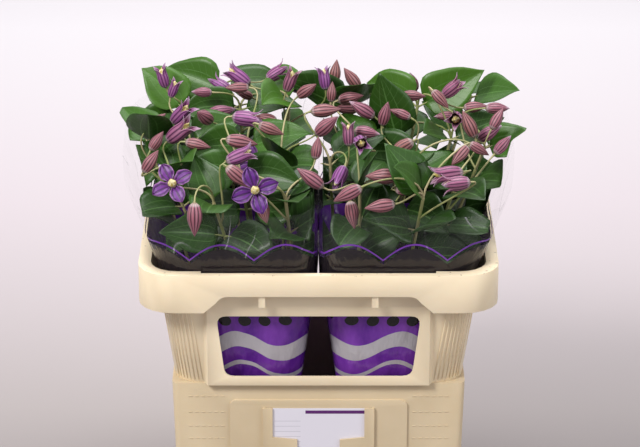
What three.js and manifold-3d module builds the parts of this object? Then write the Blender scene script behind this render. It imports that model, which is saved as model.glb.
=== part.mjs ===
// Cut clematis in two film sleeves, standing in a stacking flower container with a collar.
// Millimetres, +Z up, front towards -Y. The origin is the middle of the container's underside.
import * as THREE from "three";
import { mergeVertices } from "three/addons/utils/BufferGeometryUtils.js";
import Module from "manifold-3d";

const wasm = await Module();
wasm.setup();

// Container
const CONTAINER_HEIGHT = 240;
const FOOT_X = 171; // half width at the floor
const FOOT_Y = 121;
const MOUTH_X = 178; // half width at the mouth
const MOUTH_Y = 128;
const CORNER = 8;
const WALL = 3;
const FLOOR = 4;
const MOUTH_CORNER = 40; // corner radius of the opening between the corner shelves
const SHELF = 4;

// Front panel and card pocket on the container
const PANEL_X = 108;
const PANEL_TOP = 218;
const PANEL_BOTTOM = 40;
const PANEL_PROUD = 2.5;
const POCKET_X = 68;
const POCKET_TOP = 208;
const POCKET_BOTTOM = 124;
const POCKET_RAIL = 3;
const POCKET_GAP = 1.6;
const POCKET_LIP = 2;
const LIP_EDGE = 56; // the lip reaches in to here beside the card
const LIP_STEP = 169; // and up to here in front of it
const THUMB_EDGE = 26; // half width of the notch for a thumb
const THUMB_BOTTOM = 142;
const CARD_X = 63;
const CARD_HEIGHT = 80;
const CARD_THICK = 0.8;

// Collar
const COLLAR_HEIGHT = 155;
const RIM_Z = CONTAINER_HEIGHT + COLLAR_HEIGHT;
const RIM_X = 216;
const RIM_Y = 165;
const RIM_CORNER = 44;
const FLANGE = 4;
const SKIRT = 48;
const SKIRT_NOTCH = 27; // depth of the skirt over the window
const SPIGOT = 14;
const COLLAR_CORNER = 36;
const FRONT_HALF = 134; // half width of the raised front and back faces
const WINDOW_TOP = RIM_Z - 60.5;
const WINDOW_BOTTOM = RIM_Z - 143;
const WINDOW_TOP_X = 122.5;
const WINDOW_BOTTOM_X = 113.5;
const WINDOW_CORNER = 12;
const HOOK_X = 67.5;

// Water, stems and bands
const WATER_Z = 34;
const STEMS_PER_BUNCH = 12;
const STEM_RADIUS = 2;
const STEM_SIDES = 4;
const BUNDLE_X = 80; // from the middle of the container to the middle of a bundle
const BUNDLE_RADIUS = 10.2; // to the axis of the outermost stem
const BAND_Z = 105;
const BAND_HEIGHT = 8;
const BAND_THICK = 1.6;
const BAND_FLATS = 12;
const FAN_TOP = 345; // where the stems have spread to fill the sleeve
const FAN_FILL = 0.84;

// Film sleeves: height, inner side, outer side and half depth of the section
const SLEEVE_LEVELS = [
  [50, 40, 120, 46],
  [CONTAINER_HEIGHT, 18, 158, 110],
  [RIM_Z - 55, 4, 181, 133],
  [RIM_Z, 1.1, 199.7, 148.7],
  [RIM_Z + 120, 1.1, 240, 182],
];
const SLEEVE_FILM = 0.8;
const SLEEVE_FRONT = 79; // top edge over the rim at the front
const SLEEVE_SIDE = 118; // top edge over the rim at the sides and back
const SLEEVE_COLUMNS = 16;
const SQUARENESS = 6; // exponent of the sleeve's rounded section

// Foliage and blooms
const LEAF_THICK = 0.9;
const LEAF_FOLD = 0.3;
const LEAF_WIDTH = 0.29; // half the width as a share of the length
const NODE_SPACING = 44; // between the pairs of leaves on a stem
const INNER_STEM = 0.56; // a stem nearer the bunch's middle bears two pairs of leaves, others three
const FEWEST_BLOOMS = 2; // on each stem
const LEAF_TOP = RIM_Z + 165; // leaves seldom rise above this
const STALK_RADIUS = 1.3;
const CLEAR = 0.5; // gap cut round what passes through a leaf

const TURN = 2 * Math.PI;
const GOLDEN_TURN = Math.PI * (3 - Math.sqrt(5));
const UP = new THREE.Vector3(0, 0, 1);

const lerp = (a, b, t) => a + (b - a) * t;
const clamp = (x, low, high) => Math.min(high, Math.max(low, x));
const smooth = (t) => clamp(t, 0, 1) ** 2 * (3 - 2 * clamp(t, 0, 1));
const at = (x, y, z) => new THREE.Vector3(x, y, z);

// A repeatable draw from 0 to 1 for a numbered choice.
function chance(who, what, which = 0) {
  let t = Math.imul(who * 73 + what * 179 + which * 283 + 911, 0x9e3779b1);
  t = Math.imul(t ^ (t >>> 15), 0x85ebca77);
  t = Math.imul(t ^ (t >>> 13), 0xc2b2ae3d);
  return ((t ^ (t >>> 16)) >>> 0) / 4294967296;
}
const between = (low, high, who, what, which) => lerp(low, high, chance(who, what, which));

// Solids and skins

function solidOf(geometry) {
  const bare = geometry.index ? geometry.toNonIndexed() : geometry.clone();
  bare.deleteAttribute("normal");
  bare.deleteAttribute("uv");
  const merged = mergeVertices(bare, 1e-4);
  return new wasm.Manifold(
    new wasm.Mesh({
      numProp: 3,
      vertProperties: merged.attributes.position.array,
      triVerts: new Uint32Array(merged.index.array),
    }),
  );
}

function geometryOf(solid) {
  const mesh = solid.getMesh();
  const geometry = new THREE.BufferGeometry();
  geometry.setAttribute("position", new THREE.BufferAttribute(mesh.vertProperties, 3));
  geometry.setIndex(new THREE.BufferAttribute(mesh.triVerts, 1));
  return geometry;
}

// A closed skin over rings of points. A ring may be one point, or have half as many as the next. Open
// ends are closed by a fan. Where crossed(k) is true, the quads after point k are split the other way.
function skin(rings, { round = false, crossed = () => false } = {}) {
  const starts = rings.map((_, i) => rings.slice(0, i).reduce((n, r) => n + r.length, 0));
  const faces = [];
  const last = round ? rings.length : rings.length - 1;
  for (let i = 0; i < last; i++) {
    const j = (i + 1) % rings.length;
    const [m, n] = [rings[i].length, rings[j].length];
    const most = Math.max(m, n);
    const here = (k) => starts[i] + (m === 1 ? 0 : k % m);
    const there = (k) => starts[j] + (n === 1 ? 0 : k % n);
    for (let k = 0; k < (n === 2 * m ? m : most); k++) {
      if (n === 2 * m)
        faces.push(
          [here(k), there(2 * k + 1), there(2 * k)],
          [here(k), here(k + 1), there(2 * k + 1)],
          [here(k + 1), there(2 * k + 2), there(2 * k + 1)],
        );
      else if (m === 1) faces.push([here(k), there(k + 1), there(k)]);
      else if (n === 1) faces.push([here(k), here(k + 1), there(k)]);
      else if (crossed(k)) {
        faces.push([here(k), here(k + 1), there(k)], [here(k + 1), there(k + 1), there(k)]);
      } else {
        faces.push([here(k), here(k + 1), there(k + 1)], [here(k), there(k + 1), there(k)]);
      }
    }
  }
  if (!round) {
    const end = rings.length - 1;
    const [low, high] = [starts[0], starts[end]];
    for (let k = 1; k < rings[0].length - 1; k++) faces.push([low, low + k + 1, low + k]);
    for (let k = 1; k < rings[end].length - 1; k++) faces.push([high, high + k, high + k + 1]);
  }
  const points = rings.flat();
  const volume = faces.reduce((v, [a, b, c]) => v + points[a].dot(points[b].clone().cross(points[c])), 0);
  const geometry = new THREE.BufferGeometry().setFromPoints(points);
  geometry.setIndex(volume < 0 ? faces.flatMap(([a, b, c]) => [a, c, b]) : faces.flat());
  return geometry;
}

// The corners of a rounded rectangle at height z, from the front left round to the left.
function outline(x, y, radius, z, steps = 4) {
  const points = [];
  for (let quarter = 0; quarter < 4; quarter++) {
    const cx = (quarter === 0 || quarter === 3 ? -1 : 1) * (x - radius);
    const cy = (quarter < 2 ? -1 : 1) * (y - radius);
    for (let k = 0; k <= steps; k++) {
      const turn = Math.PI + (quarter + k / steps) * (Math.PI / 2);
      points.push(at(cx + radius * Math.cos(turn), cy + radius * Math.sin(turn), z));
    }
  }
  return points;
}

const loft = (...rings) => solidOf(skin(rings));

// A flat shape drawn in X and Z, given a thickness from y towards -Y.
function plateFacingFront(shape, y, thickness) {
  const options = { depth: thickness, bevelEnabled: false, curveSegments: 4 };
  const geometry = new THREE.ExtrudeGeometry(shape, options);
  return solidOf(geometry.rotateX(Math.PI / 2).translate(0, y, 0));
}

function polygon(corners) {
  return new THREE.Shape(corners.map(([x, z]) => new THREE.Vector2(x, z)));
}

function block(x0, x1, y0, y1, z0, z1) {
  const geometry = new THREE.BoxGeometry(x1 - x0, y1 - y0, z1 - z0);
  return solidOf(geometry.translate((x0 + x1) / 2, (y0 + y1) / 2, (z0 + z1) / 2));
}

// Container, card and water

const bodyX = (z) => lerp(FOOT_X, MOUTH_X, z / CONTAINER_HEIGHT);
const bodyY = (z) => lerp(FOOT_Y, MOUTH_Y, z / CONTAINER_HEIGHT);
const FRONT_LEAN = Math.atan2(MOUTH_Y - FOOT_Y, CONTAINER_HEIGHT);

// Leans a solid drawn against the plane y = 0 back onto the container's front face.
function onFrontFace(solid) {
  return solid.rotate([(FRONT_LEAN * 180) / Math.PI, 0, 0]).translate([0, -FOOT_Y, 0]);
}

function container() {
  const foot = outline(FOOT_X, FOOT_Y, CORNER, 0);
  const outer = loft(foot, outline(MOUTH_X, MOUTH_Y, CORNER, CONTAINER_HEIGHT));
  const shelfZ = CONTAINER_HEIGHT - SHELF;
  const inner = (z) => outline(bodyX(z) - WALL, bodyY(z) - WALL, CORNER - WALL, z);
  const hollow = loft(inner(FLOOR), inner(shelfZ));
  const mouth = (z) => outline(MOUTH_X - WALL, MOUTH_Y - WALL, MOUTH_CORNER, z);
  const opening = loft(mouth(shelfZ - 1), mouth(CONTAINER_HEIGHT + 1));
  const panel = roundedPanel(PANEL_X, PANEL_BOTTOM, PANEL_TOP, 8);
  const raised = onFrontFace(plateFacingFront(panel, 1, PANEL_PROUD + 1));
  return outer.subtract(hollow).subtract(opening).add(raised.subtract(hollow)).add(onFrontFace(pocket()));
}

function roundedPanel(x, bottom, top, radius) {
  const shape = new THREE.Shape();
  shape.moveTo(-x, bottom);
  shape.lineTo(x, bottom);
  shape.lineTo(x, top - radius);
  shape.absarc(x - radius, top - radius, radius, 0, Math.PI / 2);
  shape.lineTo(radius - x, top);
  shape.absarc(radius - x, top - radius, radius, Math.PI / 2, Math.PI);
  return shape;
}

// Two rails and a foot that carry a lip in front of the card.
function pocket() {
  const face = -PANEL_PROUD;
  const railX = POCKET_X - POCKET_RAIL;
  const rails = polygon([
    [-POCKET_X, POCKET_BOTTOM],
    [POCKET_X, POCKET_BOTTOM],
    [POCKET_X, POCKET_TOP],
    [railX, POCKET_TOP],
    [railX, POCKET_BOTTOM + POCKET_RAIL],
    [-railX, POCKET_BOTTOM + POCKET_RAIL],
    [-railX, POCKET_TOP],
    [-POCKET_X, POCKET_TOP],
  ]);
  const lip = polygon([
    [-POCKET_X, POCKET_BOTTOM],
    [POCKET_X, POCKET_BOTTOM],
    [POCKET_X, POCKET_TOP],
    [LIP_EDGE, POCKET_TOP],
    [LIP_EDGE, LIP_STEP],
    [THUMB_EDGE, LIP_STEP - 3],
    [THUMB_EDGE, THUMB_BOTTOM],
    [-THUMB_EDGE, THUMB_BOTTOM],
    [-THUMB_EDGE, LIP_STEP - 3],
    [-LIP_EDGE, LIP_STEP],
    [-LIP_EDGE, POCKET_TOP],
    [-POCKET_X, POCKET_TOP],
  ]);
  const back = plateFacingFront(rails, face + 1, POCKET_GAP + 1);
  return back.add(plateFacingFront(lip, face - POCKET_GAP, POCKET_LIP));
}

function card() {
  const bottom = POCKET_BOTTOM + POCKET_RAIL + 0.3;
  const y = -PANEL_PROUD - (POCKET_GAP - CARD_THICK) / 2;
  return onFrontFace(block(-CARD_X, CARD_X, y - CARD_THICK, y, bottom, bottom + CARD_HEIGHT));
}

function water(stems) {
  const edge = (z) => outline(bodyX(z) - WALL - 0.3, bodyY(z) - WALL - 0.3, CORNER - WALL, z);
  const holes = stems.map((stem) =>
    loft(stemRing(stem, FLOOR - 1, STEM_RADIUS + 0.5), stemRing(stem, WATER_Z + 1, STEM_RADIUS + 0.5)),
  );
  return loft(edge(FLOOR), edge(WATER_Z)).subtract(wasm.Manifold.union(holes));
}

// Collar

// The collar's wall at height z, taken in by inset, with raised faces over the middle of front and back.
function collarRing(z, x, y, proud, inset) {
  const ring = outline(x - inset, y - inset, COLLAR_CORNER - inset, z);
  const half = FRONT_HALF - inset;
  const front = -(y + proud - inset);
  const corner = 5;
  const slant = 4;
  return [
    ...ring.slice(0, corner),
    at(-half - slant, inset - y, z),
    at(-half, front, z),
    at(half, front, z),
    at(half + slant, inset - y, z),
    ...ring.slice(corner, 3 * corner),
    at(half + slant, y - inset, z),
    at(half, -front, z),
    at(-half, -front, z),
    at(-half - slant, y - inset, z),
    ...ring.slice(3 * corner),
  ];
}

function collar() {
  const seat = CONTAINER_HEIGHT;
  const levels = [
    [seat, 175.8, 126.8, 9],
    [RIM_Z - SKIRT, 189, 139.5, 6],
    [RIM_Z - FLANGE, 203.5, 152.5, 1.5],
  ];
  const wall = loft(...levels.map((level) => collarRing(...level, 0)));
  const [lowest, middle, highest] = levels;
  const cavity = loft(
    collarRing(seat + WALL, ...lowest.slice(1), WALL),
    collarRing(...middle, WALL),
    collarRing(RIM_Z - FLANGE - 2, ...highest.slice(1), WALL),
  );
  const spigotX = MOUTH_X - WALL - 0.6;
  const spigotY = MOUTH_Y - WALL - 0.6;
  const spigot = (inset, z) => outline(spigotX - inset, spigotY - inset, MOUTH_CORNER - 1 - inset, z);
  const rim = (inset, z) => outline(RIM_X - inset, RIM_Y - inset, RIM_CORNER - inset, z, 5);
  const mouth = (z) => outline(201, 150, 33, z, 5);
  const solid = wasm.Manifold.union([
    wall,
    loft(spigot(0, seat - SPIGOT), spigot(0, seat + 1)),
    loft(rim(0, RIM_Z - FLANGE), rim(0, RIM_Z)),
    loft(rim(0, RIM_Z - SKIRT), rim(0, RIM_Z - 1)).subtract(
      loft(rim(WALL, RIM_Z - SKIRT - 1), rim(WALL, RIM_Z - FLANGE)),
    ).subtract(skirtNotch()),
    hook(-HOOK_X),
    hook(HOOK_X),
  ]);
  return solid
    .subtract(cavity)
    .subtract(loft(spigot(WALL, seat - SPIGOT - 1), spigot(WALL, seat + WALL + 1)))
    .subtract(loft(mouth(RIM_Z - FLANGE - 3), mouth(RIM_Z + 1)))
    .subtract(block(-140, 140, -156, 156, RIM_Z - 2.4, RIM_Z + 1))
    .subtract(windows());
}

// A stout peg under the flange, behind the skirt.
function hook(x) {
  return block(x - 4, x + 4, 2.5 - RIM_Y, 7 - RIM_Y, RIM_Z - 42, RIM_Z - FLANGE + 1);
}

// The skirt is shallower over the window: the same notch is cut through front and back.
function skirtNotch() {
  const low = RIM_Z - SKIRT - 1;
  const high = RIM_Z - SKIRT_NOTCH;
  const shape = new THREE.Shape();
  shape.moveTo(-138, low);
  shape.lineTo(138, low);
  shape.lineTo(122, high - 8);
  shape.quadraticCurveTo(117, high, 108, high);
  shape.lineTo(-108, high);
  shape.quadraticCurveTo(-117, high, -122, high - 8);
  return plateFacingFront(shape, RIM_Y + 5, 2 * RIM_Y + 10);
}

function windows() {
  const shape = new THREE.Shape();
  const r = WINDOW_CORNER;
  shape.moveTo(r - WINDOW_BOTTOM_X, WINDOW_BOTTOM);
  shape.lineTo(WINDOW_BOTTOM_X - r, WINDOW_BOTTOM);
  shape.quadraticCurveTo(WINDOW_BOTTOM_X, WINDOW_BOTTOM, WINDOW_BOTTOM_X + 1, WINDOW_BOTTOM + r);
  shape.lineTo(WINDOW_TOP_X - 1, WINDOW_TOP - r);
  shape.quadraticCurveTo(WINDOW_TOP_X, WINDOW_TOP, WINDOW_TOP_X - r, WINDOW_TOP);
  shape.lineTo(r - WINDOW_TOP_X, WINDOW_TOP);
  shape.quadraticCurveTo(-WINDOW_TOP_X, WINDOW_TOP, 1 - WINDOW_TOP_X, WINDOW_TOP - r);
  shape.lineTo(-WINDOW_BOTTOM_X - 1, WINDOW_BOTTOM + r);
  shape.quadraticCurveTo(-WINDOW_BOTTOM_X, WINDOW_BOTTOM, r - WINDOW_BOTTOM_X, WINDOW_BOTTOM);
  return plateFacingFront(shape, RIM_Y, 2 * RIM_Y);
}

// Film sleeves

// The sleeve's section at height z on one side: the middle, half width and half depth.
function sectionAt(side, z) {
  let i = 0;
  while (i < SLEEVE_LEVELS.length - 2 && z > SLEEVE_LEVELS[i + 1][0]) i++;
  const [low, high] = [SLEEVE_LEVELS[i], SLEEVE_LEVELS[i + 1]];
  const t = clamp((z - low[0]) / (high[0] - low[0]), 0, 1.5);
  const [inner, outer, depth] = [1, 2, 3].map((k) => lerp(low[k], high[k], t));
  return { middle: (side * (inner + outer)) / 2, width: (outer - inner) / 2, depth };
}

// How far out a point lies in a section: 1 is on the film.
function reachIn(section, x, y) {
  const across = Math.abs((x - section.middle) / section.width);
  const along = Math.abs(y / section.depth);
  return (across ** SQUARENESS + along ** SQUARENESS) ** (1 / SQUARENESS);
}

// The top edge dips at the front. forward is 1 straight ahead and 0 at the sides and back.
function filmTop(forward) {
  return RIM_Z + lerp(SLEEVE_SIDE, SLEEVE_FRONT, smooth(forward * 1.6 - 0.35));
}

function filmTopOver(section, x, y) {
  const length = Math.hypot(x - section.middle, y) || 1;
  return filmTop(Math.max(0, -y / length));
}

function sleeveRing(side, level, grow) {
  const ring = [];
  for (let k = 0; k < SLEEVE_COLUMNS; k++) {
    const turn = ((k + 0.5) / SLEEVE_COLUMNS) * TURN;
    const [c, s] = [Math.cos(turn), Math.sin(turn)];
    const z = level ?? filmTop(Math.max(0, -s));
    const section = sectionAt(side, z);
    const far = (Math.abs(c) ** SQUARENESS + Math.abs(s) ** SQUARENESS) ** (-1 / SQUARENESS);
    ring.push(at(section.middle + (section.width + grow) * c * far, (section.depth + grow) * s * far, z));
  }
  return ring;
}

function sleeve(side, grow = 0) {
  const heights = [...SLEEVE_LEVELS.slice(0, -1).map((level) => level[0]), null];
  const outer = heights.map((z) => sleeveRing(side, z, SLEEVE_FILM + grow));
  const inner = heights.map((z) => sleeveRing(side, z, -grow)).reverse();
  return solidOf(skin([...outer, ...inner], { round: true }));
}

// Where the stems, leaves and blooms go

// Blooms read off the photo, from the front and 22 degrees above level: across from the middle and up
// from the rim's front edge in mm, the way it faces (0 right, 180 left, -90 to the front), its rise in
// degrees, its length and its kind.
const SEEN_BLOOMS = [
  [-145, 66, -90, -75, 40, "hanging"],
  [-195, 249, 180, 75, 30, "bell"],
  [-180, 233, 0, 70, 25, "bell"],
  [-145, 228, 190, 5, 26, "bud"],
  [-101, 250, 170, 35, 37, "bell"],
  [-101, 233, 190, 3, 30, "bud"],
  [-52, 256, 10, 30, 32, "bell"],
  [-35, 243, 0, 70, 32, "bell"],
  [-21, 242, -10, 40, 32, "bell"],
  [-14, 228, -30, 38, 33, "bud"],
  [-168, 199, -20, 48, 37, "bell"],
  [-168, 175, -10, 40, 42, "bell"],
  [-140, 195, -120, 35, 37, "bud"],
  [-198, 188, 0, 42, 32, "bud"],
  [-120, 204, 10, 8, 37, "bud"],
  [-87, 191, -10, -5, 37, "bell"],
  [-57, 177, -10, -20, 33, "bud"],
  [-92, 161, 0, -10, 39, "bud"],
  [-93, 143, 10, 20, 37, "bell"],
  [-94, 117, -10, -40, 39, "bud"],
  [-200, 137, 10, 55, 33, "bud"],
  [-65, 76, -70, -40, 33, "bud"],
  [-10, 116, 180, 38, 39, "bud"],
  [-174, 111, -100, 35, 33, "open"],
  [-124, 102, -80, 30, 37, "open"],
  [-79, 137, -110, 25, 33, "open"],
  [21, 257, 40, 80, 33, "bud"],
  [41, 246, 180, 55, 33, "bud"],
  [40, 220, -10, 15, 33, "bud"],
  [53, 205, 180, 33, 37, "bud"],
  [74, 235, -20, 20, 30, "bud"],
  [9, 201, 0, 5, 37, "bud"],
  [81, 198, -30, 75, 33, "bud"],
  [104, 188, -20, 10, 32, "bud"],
  [118, 223, -10, 0, 30, "bud"],
  [119, 245, 180, 72, 26, "bud"],
  [166, 232, 0, 40, 33, "bell"],
  [182, 184, 170, 65, 37, "bud"],
  [220, 206, 0, 0, 30, "bud"],
  [209, 175, -10, 35, 35, "bud"],
  [168, 143, -135, -30, 33, "bud"],
  [98, 153, 190, -30, 37, "bud"],
  [75, 118, 180, 0, 39, "bud"],
  [151, 120, 190, -5, 40, "bell"],
  [25, 118, -120, -38, 33, "bell"],
  [34, 96, 190, -25, 37, "bud"],
  [2, 85, 180, 2, 35, "bud"],
  [72, 82, 190, -5, 37, "bud"],
  [10, 181, -10, 42, 37, "bud"],
  [59, 174, -10, -5, 32, "bud"],
  [-123, 239, 150, 20, 32, "bell"],
  [-93, 227, 200, 30, 26, "bud"],
  [7, 246, 120, 75, 30, "bell"],
  [-65, 195, 170, 10, 28, "bud"],
  [-195, 163, 30, 50, 28, "bud"],
  [-145, 158, -10, -10, 32, "bud"],
  [16, 226, 60, 80, 26, "bud"],
  [34, 209, 200, 10, 32, "bud"],
  [100, 199, 170, 20, 28, "bud"],
  [150, 217, -30, -40, 30, "bud"],
  [156, 199, 190, 0, 26, "bud"],
  [168, 192, -100, 10, 34, "bell"],
  [194, 209, 0, 5, 30, "bud"],
  [216, 190, 40, 50, 30, "bud"],
  [222, 158, 30, 40, 30, "bud"],
  [194, 153, -10, -30, 28, "bud"],
  [36, 171, 100, 75, 30, "bell"],
  [50, 159, -80, 5, 32, "bell"],
  [29, 155, 180, 0, 32, "bud"],
  [-2, 153, 70, 65, 28, "bud"],
  [161, 108, 185, -5, 34, "bell"],
  [79, 72, 210, -45, 32, "bud"],
  [40, 72, -60, -70, 34, "bud"],
  [-75, 100, -95, 20, 36, "open"],
  [10, 98, 0, -10, 32, "bud"],
  [106, 102, 0, 0, 30, "bud"],
];
const SEEN_FROM = (22 * Math.PI) / 180;
const MOST_BLOOMS = 5; // on one stem
const OVER_EDGE = -17; // how far behind the rim's front edge the bloom hanging over the film lies

function plantStems() {
  const stems = [];
  for (const side of [-1, 1])
    for (let i = 0; i < STEMS_PER_BUNCH; i++) {
      const id = stems.length;
      const far = Math.sqrt((i + 0.5) / STEMS_PER_BUNCH);
      const turn = i * GOLDEN_TURN + (side < 0 ? 0.4 : 2.1);
      const squared = (Math.cos(turn) ** 4 + Math.sin(turn) ** 4) ** -0.25;
      const stem = { id, side, far, u: far * Math.cos(turn), v: far * Math.sin(turn), squared };
      Object.assign(stem, { blooms: [], leaves: [] });
      const back = clamp(0.5 + 0.6 * stem.v * squared, 0, 1);
      stem.tip = RIM_Z + lerp(80, 122, back) + between(-12, 12, id, 1);
      stems.push(stem);
    }
  return stems;
}

// The stem's axis at height z: upright in the bundle, then fanning out to fill the sleeve.
function stemPoint(stem, z) {
  const spread = smooth((z - BAND_Z - BAND_HEIGHT) / (FAN_TOP - BAND_Z - BAND_HEIGHT));
  const section = sectionAt(stem.side, z);
  const sway = 9 * Math.max(0, (z - RIM_Z) / 100);
  const x = section.middle + stem.u * stem.squared * section.width * FAN_FILL;
  const y = stem.v * stem.squared * section.depth * FAN_FILL;
  return at(
    lerp(stem.side * BUNDLE_X + stem.u * BUNDLE_RADIUS, x, spread) + sway * Math.cos(stem.id * 2.3),
    lerp(stem.v * BUNDLE_RADIUS, y, spread) + sway * Math.sin(stem.id * 2.3),
    z,
  );
}

// Points on a bezier through four points.
function bezierPoint(p, t) {
  const s = 1 - t;
  return at(0, 0, 0)
    .addScaledVector(p[0], s * s * s)
    .addScaledVector(p[1], 3 * s * s * t)
    .addScaledVector(p[2], 3 * s * t * t)
    .addScaledVector(p[3], t * t * t);
}

function heading(turn, rise) {
  return at(Math.cos(rise) * Math.cos(turn), Math.cos(rise) * Math.sin(turn), Math.sin(rise));
}

// Balls that stand for what is already placed, so that the next piece can keep clear of it.
const taken = [];

function take(owner, points, radii) {
  points.forEach((p, k) => taken.push({ owner, x: p.x, y: p.y, z: p.z, r: radii[k] }));
}

// The least gap to what is placed, and how many placed things come nearer than the clearance.
function roomFor(own, points, radius, reach) {
  let room = reach;
  const met = new Set();
  const near = taken.filter((t) => t.owner !== own && Math.abs(t.z - points[0].z) < 110);
  points.forEach((p, k) => {
    const r = Array.isArray(radius) ? radius[k] : radius;
    for (const t of near) {
      const gap = Math.sqrt((p.x - t.x) ** 2 + (p.y - t.y) ** 2 + (p.z - t.z) ** 2) - t.r - r;
      if (gap < room) room = gap;
      if (gap < CLEAR) met.add(t.owner);
    }
  });
  return { room, met: met.size };
}

// How far a point may lie out in the section at its height: inside the film, and freely above it.
function reachLimit(section, p) {
  return 0.96 + Math.max(0, (p.z - filmTopOver(section, p.x, p.y)) / 90);
}

function confine(side, p) {
  const section = sectionAt(side, p.z);
  const scale = Math.min(1, reachLimit(section, p) / (reachIn(section, p.x, p.y) || 1));
  return at(section.middle + (p.x - section.middle) * scale, p.y * scale, p.z);
}

// How far a point lies outside both sleeves' free room.
function overreach(side, p) {
  const section = sectionAt(side, p.z);
  return reachIn(section, p.x, p.y) - reachLimit(section, p);
}

// One flower on its arching stalk: the stalk's line, and balls along the stalk and the bloom.
function bloomPlan(stem, drop, base, facing, length, kind) {
  const root = stemPoint(stem, stem.tip - drop);
  const far = base.distanceTo(root);
  const aside = base.clone().sub(root).setZ(0).normalize();
  const away = UP.clone().addScaledVector(aside, drop > 5 ? 1 : 0.1).normalize();
  const line = [
    root,
    root.clone().addScaledVector(away, clamp(0.45 * far, 10, 40)),
    base.clone().addScaledVector(facing, -clamp(0.4 * far, 10, 26)),
    base,
  ];
  const axis = [0.12, 0.4, 0.7, 0.95].map((t) => base.clone().addScaledVector(facing, length * t));
  const widths = kind === "open" ? [0.3, 0.66, 0.7, 0.4] : [0.22, 0.27, 0.22, 0.1];
  const stalk = [0.2, 0.35, 0.5, 0.65, 0.8, 0.95].map((t) => bezierPoint(line, t));
  return {
    drop,
    facing,
    base,
    length,
    kind,
    line,
    points: [...axis, ...stalk],
    radii: [...widths.map((w) => w * length + 0.4), ...stalk.map(() => STALK_RADIUS + 0.6)],
  };
}

function weigh(stem, plan, hanging = false) {
  const { room } = roomFor(`stem${stem.id}`, plan.points, plan.radii, 5);
  const out = hanging ? 0 : Math.max(...plan.points.map((p) => overreach(stem.side, p)));
  const bend = plan.line[0].distanceTo(plan.base);
  return room - Math.max(0, out) * 60 - Math.max(0, bend - 75) * 0.05;
}

function keepBloom(stem, plan, name) {
  take(name, plan.points, plan.radii);
  stem.blooms.push(plan);
}

// A seen bloom keeps its place in the picture. How deep it lies and which stem bears it are chosen.
function plantSeenBlooms(stems) {
  SEEN_BLOOMS.forEach(([across, up, turn, rise, length, kind], n) => {
    const facing = heading((turn * Math.PI) / 180, (rise * Math.PI) / 180);
    const hanging = kind === "hanging";
    const likely = clamp((up - 96) * 1.77, 4, 290);
    let best = null;
    for (const shift of hanging ? [0] : [0, 16, -16, 34, -34, 54, -54]) {
      const back = hanging ? OVER_EDGE : clamp(likely + shift, -4, 300);
      const z = RIM_Z + (up - back * Math.sin(SEEN_FROM)) / Math.cos(SEEN_FROM);
      const base = at(across, back - RIM_Y, z).addScaledVector(facing, -length / 2);
      for (const stem of stems) {
        if (stem.blooms.length >= MOST_BLOOMS) continue;
        for (const drop of [1, 30]) {
          if (stemPoint(stem, stem.tip - drop).distanceTo(base) > 105) continue;
          const plan = bloomPlan(stem, drop, base, facing, length, hanging ? "bud" : kind);
          plan.room = weigh(stem, plan, hanging) - stem.blooms.length - Math.abs(shift) * 0.02;
          if (!best || plan.room > best.plan.room) best = { stem, plan };
        }
      }
    }
    if (best && best.plan.room > -3) keepBloom(best.stem, best.plan, `seen${n}`);
  });
}

// The other blooms are drawn until each stem bears two, where there is room for them.
function plantMoreBlooms(stem) {
  for (let n = stem.blooms.length; n < FEWEST_BLOOMS; n++) {
    const key = 10 + n;
    const kind = chance(stem.id, key, 1) < 0.75 ? "bud" : "bell";
    const length = between(36, 46, stem.id, key, 2);
    let best = null;
    for (let attempt = 0; attempt < 40; attempt++) {
      const drop = (attempt % 3) * 22 + 1;
      const turn = chance(stem.id, key, 3) * TURN + attempt * GOLDEN_TURN;
      const facing = heading(turn, lerp(-0.7, 0.8, chance(stem.id, key, 20 + attempt)));
      const rise = between(34, 80, stem.id, key, 70 + attempt);
      const base = stemPoint(stem, stem.tip - drop)
        .addScaledVector(UP, rise)
        .addScaledVector(heading(turn, 0), between(4, 40, stem.id, key, 120 + attempt));
      const plan = bloomPlan(stem, drop, base, facing, length, kind);
      plan.room = weigh(stem, plan);
      if (!best || plan.room > best.room) best = plan;
    }
    if (best.room > 0) keepBloom(stem, best, `more${stem.id}.${n}`);
  }
}

// Share of the full half width at each share of the leaf's length.
const LEAF_ROWS = [
  [0.24, 0.94],
  [0.62, 0.8],
];
const LEAF_NECK = 0.1; // share of the leaf's length that is its short stalk
const NECK_RADIUS = 1.3;

// The leaf's middle surface: rows of left, middle and right points from its neck to its tip.
function leafSurface(leaf, grow = 0) {
  const forward = heading(leaf.turn, leaf.rise);
  const side = heading(leaf.turn + Math.PI / 2, 0);
  const spine = (t) =>
    leaf.base
      .clone()
      .addScaledVector(forward, (leaf.length + grow) * t)
      .addScaledVector(UP, -leaf.droop * leaf.length * t * t);
  const rows = LEAF_ROWS.map(([t, share]) => {
    const ahead = spine(t + 0.05).sub(spine(t - 0.05)).normalize();
    const flat = side.clone().applyAxisAngle(ahead, leaf.roll);
    const up = flat.clone().cross(ahead).multiplyScalar(-1);
    const half = leaf.half * share + grow;
    return [-1, 0, 1].map((s) =>
      confine(
        leaf.side,
        spine(t)
          .addScaledVector(flat, s * half)
          .addScaledVector(up, Math.abs(s) * half * LEAF_FOLD),
      ),
    );
  });
  const neck = [-1, 0, 1].map((s) => spine(LEAF_NECK).addScaledVector(side, s * NECK_RADIUS));
  return { neck, rows, tip: confine(leaf.side, spine(1)) };
}

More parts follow.
